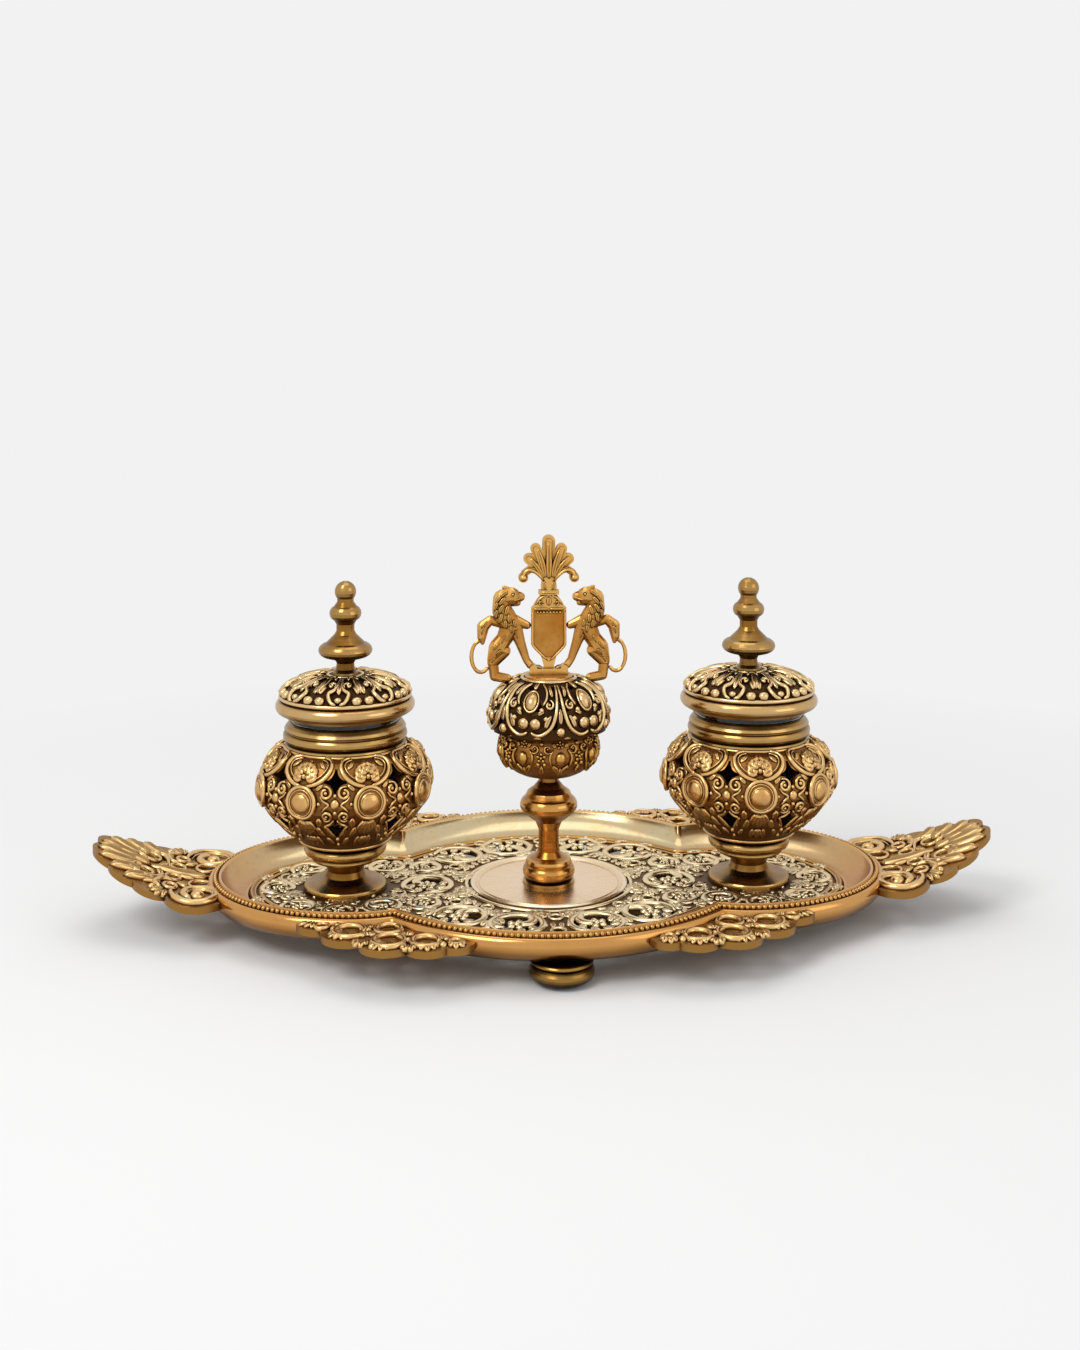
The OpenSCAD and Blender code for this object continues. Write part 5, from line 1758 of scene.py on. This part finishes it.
@dataclass
class Crest:
    """Flat cast crest: plain shield between two lions, under a palmette."""

    base_z: float = 96.6
    shield_h: float = 22.7
    shield_w: float = 7.1
    # half thickness of shield and palmette, height of the shield over the cap and of the palmette over it
    shield_t: float = 1.2
    palmette_t: float = 1.5
    shield_up: float = 4.2
    palmette_up: float = 5.2
    # the lions' half thickness over their limbs' radius, and how deep the chasing is let into them
    lion_depth: float = 0.75
    sunk: float = 0.15
    eye: Spot = (7.4, 32.4)
    # limbs that carry the mane and the chasing: out from the shield, height above the cap and radius at
    # both ends
    limbs: tuple = (
        ((8, 31.2, 3.8), (11.4, 30.6, 3.6)), ((7.8, 31.4, 2.6), (4.3, 31.1, 1.9)),
        ((11.6, 30.4, 3.8), (11.8, 26, 4)), ((11.8, 26, 4), (10.2, 22.4, 4.6)),
        ((10.2, 22.4, 4.6), (8.2, 19.4, 4.2)), ((8.2, 19.4, 4.2), (10.8, 14.2, 3.3)),
        ((10.8, 14.2, 3.3), (13.4, 10.6, 3.8)), ((13.4, 10.6, 3.8), (15.6, 5.6, 2.2)),
        ((6.8, 19.2, 3.2), (4.4, 12.6, 2.1)), ((16.6, 21.8, 1.9), (19.4, 19.2, 2.5)),
        ((19.4, 19.2, 2.5), (19.9, 15.2, 1.9)),
    )
    # locks of the mane and strokes of the chasing: root, tip, half width
    locks: tuple = (
        ((9.4, 33.6), (12.6, 31.0), 0.8), ((11.8, 32.6), (14.6, 28.6), 0.8), ((10.2, 31.4), (13.2, 27.6), 0.9),
        ((13.2, 29.6), (15.0, 25.4), 0.8), ((11.0, 28.6), (13.2, 24.4), 0.9), ((13.6, 26.6), (14.2, 22.2), 0.8),
        ((9.0, 28.2), (10.4, 23.8), 0.9), ((11.6, 25.2), (12.2, 20.8), 0.9), ((8.8, 25.0), (8.6, 20.6), 0.9),
        ((10.4, 22.6), (9.8, 18.4), 0.9), ((7.0, 22.6), (6.2, 19.0), 0.8), ((8.2, 20.2), (7.8, 16.6), 0.8),
        ((6.2, 18.2), (5.2, 14.4), 0.5), ((10.4, 16.0), (12.0, 12.6), 0.6), ((12.8, 13.0), (15.4, 10.0), 0.6),
        ((12.0, 10.4), (14.4, 7.6), 0.6), ((17.6, 21.6), (20.2, 18.8), 0.7), ((18.6, 19.6), (20.0, 16.0), 0.7),
        ((14.4, 7.0), (16.0, 4.6), 0.5),
    )

    def build(self) -> None:
        """Dresses the nodes and lays the raised work on both faces."""
        dress(["cover_cap", "shield", "ribbon", "palmette", "left_lion", "right_lion"], CREST)
        for face in (-1, 1):
            self.shield(face)
            self.palmette(face)
            self.chasing(face)

    @staticmethod
    def word(face: int) -> str:
        """Front or back."""
        return "front" if face < 0 else "back"

    def shield(self, face: int) -> None:
        """Lays the frame, the beads and the leaves of the shield on one face.

        Args:
            face: -1 for the front, 1 for the back.
        """

        def place(u: float, v: float, w: float) -> Vector:
            """Point over the shield's face."""
            return Vector((u, face * (self.shield_t + w), self.base_z + self.shield_up + v))

        half, h = self.shield_w - 0.55, self.shield_h
        relief = Relief()
        side = ((0, 0.8), (0.8 * half, 6.0), (half, 8.2), (half, 14.0), (half, h - 0.7))
        relief.band(through(*side, steps=4), 0.5, 0.6, 1.0, 1.0)
        relief.band([Vector((half * i / 8, h - 0.6)) for i in range(9)], 0.5, 0.6, 1.0, 1.0)
        for i in range(4):
            relief.boss((0.65 + 1.3 * i, h - 2.0), 0.55, 0.6, rings=4)
        relief.band(through((0.8, h + 5.0), (3.4, h + 3.8), (5.6, h + 0.9), steps=4), 0.6, 0.9)
        relief.scroll((3.2, h + 1.9), 1.2, 180, Way.LEFT, 0.35, 0.8, 0.9)
        relief.leaf((2.4, -2.2), (6.6, -1.4), 0.8, 0.8, 0.3)
        relief.stamp([place], mirrored=face > 0, both=True)
        relief.leaf((0, h + 0.6), (0, h + 4.6), 1.2, 1.1)
        relief.stamp([place], mirrored=face > 0)
        relief.piece(f"shield_mouldings_{self.word(face)}", Body.COVER, CREST, "crest_brass")

    def palmette(self, face: int) -> None:
        """Lays the leaves, arms and balls of the palmette on one face.

        Args:
            face: -1 for the front, 1 for the back.
        """
        low = self.base_z + self.shield_up + self.shield_h + self.palmette_up

        def place(u: float, v: float, w: float) -> Vector:
            """Point over the palmette's face."""
            return Vector((u, face * (self.palmette_t + w), low + v))

        relief = Relief()
        relief.leaf((1.3, 6.0), (5.0, 19.4), 1.3, 1.4, 0.5, 0.5)
        relief.leaf((2.0, 6.0), (8.0, 15.2), 1.2, 1.3, 0.5, 0.5)
        arm = ((1.6, 5.2), (5.2, 9.0), (8.0, 10.0), (9.8, 8.8), (10.4, 6.8))
        relief.band(through(*arm, steps=4), 0.9, 1.3, 0.6, 0.8)
        relief.boss((10.3, 6.8), 1.6, 1.7)
        relief.leaf((1.0, 2.2), (2.2, 5.8), 0.8, 0.9)
        relief.stamp([place], mirrored=face > 0, both=True)
        relief.leaf((0, 5.4), (0, 22.6), 1.5, 1.7, blunt=0.5)
        relief.band([Vector((-3.4 + 0.85 * i, 0.9)) for i in range(9)], 0.7, 0.9, 1, 1)
        relief.stamp([place], mirrored=face > 0)
        relief.piece(f"palmette_ribs_{self.word(face)}", Body.COVER, CREST, "crest_brass")

    def hide(self, u: float, v: float) -> float:
        """Half the lion's thickness at a spot of its flank."""
        best = 0.0
        spot = Vector((u, v))
        for (x0, z0, r0), (x1, z1, r1) in self.limbs:
            a, run = Vector((x0, z0)), Vector((x1 - x0, z1 - z0))
            t = min(1.0, max(0.0, (spot - a).dot(run) / run.length_squared))
            r = mix(r0, r1, t)
            best = max(best, r * r - (spot - a - run * t).length_squared)
        return self.lion_depth * math.sqrt(best)

    def chasing(self, face: int) -> None:
        """Lays the mane, the eye and the chased strokes of both lions on one face.

        Args:
            face: -1 for the front, 1 for the back.
        """

        def place(side: int, u: float, v: float, w: float) -> Vector:
            """Point over the flank of the lion on one side."""
            deep = face * (self.hide(u, v) - self.sunk + w)
            return Vector((side * (self.shield_w + u), deep, self.base_z + v))

        relief = Relief()
        for i, (root, tip, width) in enumerate(self.locks):
            relief.leaf(root, tip, width, 1.25, 0.5 - hashed(i) * 0.3, 0.6)
        relief.boss(self.eye, 0.6, 0.6, rings=4)
        relief.ring(self.eye, 0.95, 0.22, 0.5, steps=12)
        relief.band(through((3.0, 30.9), (5.4, 30.2), (7.4, 29.8), steps=3), 0.3, 0.4)
        relief.stamp([partial(place, 1)], mirrored=face > 0, keep=True)
        relief.stamp([partial(place, -1)], mirrored=face < 0)
        relief.piece(f"lion_chasing_{self.word(face)}", Body.COVER, CREST, "crest_brass")


@dataclass
class Feet:
    """Four turned bun feet."""

    nodes: tuple[str, ...] = ("front_foot", "back_foot", "left_foot", "right_foot")

    def build(self) -> None:
        """Dresses the feet."""
        dress(self.nodes, FOOT)


def main() -> None:
    """Builds the scene, sub-assembly by sub-assembly."""
    logging.basicConfig(level=logging.INFO, format="%(message)s")
    View().build()
    Studio().build()
    assemblies = [
        Tray(),
        Wing(1),
        Wing(-1),
        *[Bracket(sx, sy) for sx in (1, -1) for sy in (1, -1)],
        Feet(),
        Inkpot(-1, 19.3),
        Inkpot(1, -3.4),
        Centre(),
        Crest(),
    ]
    for assembly in assemblies:
        LOG.info("building %s", type(assembly).__name__)
        assembly.build()


if __name__ == "__main__":
    main()
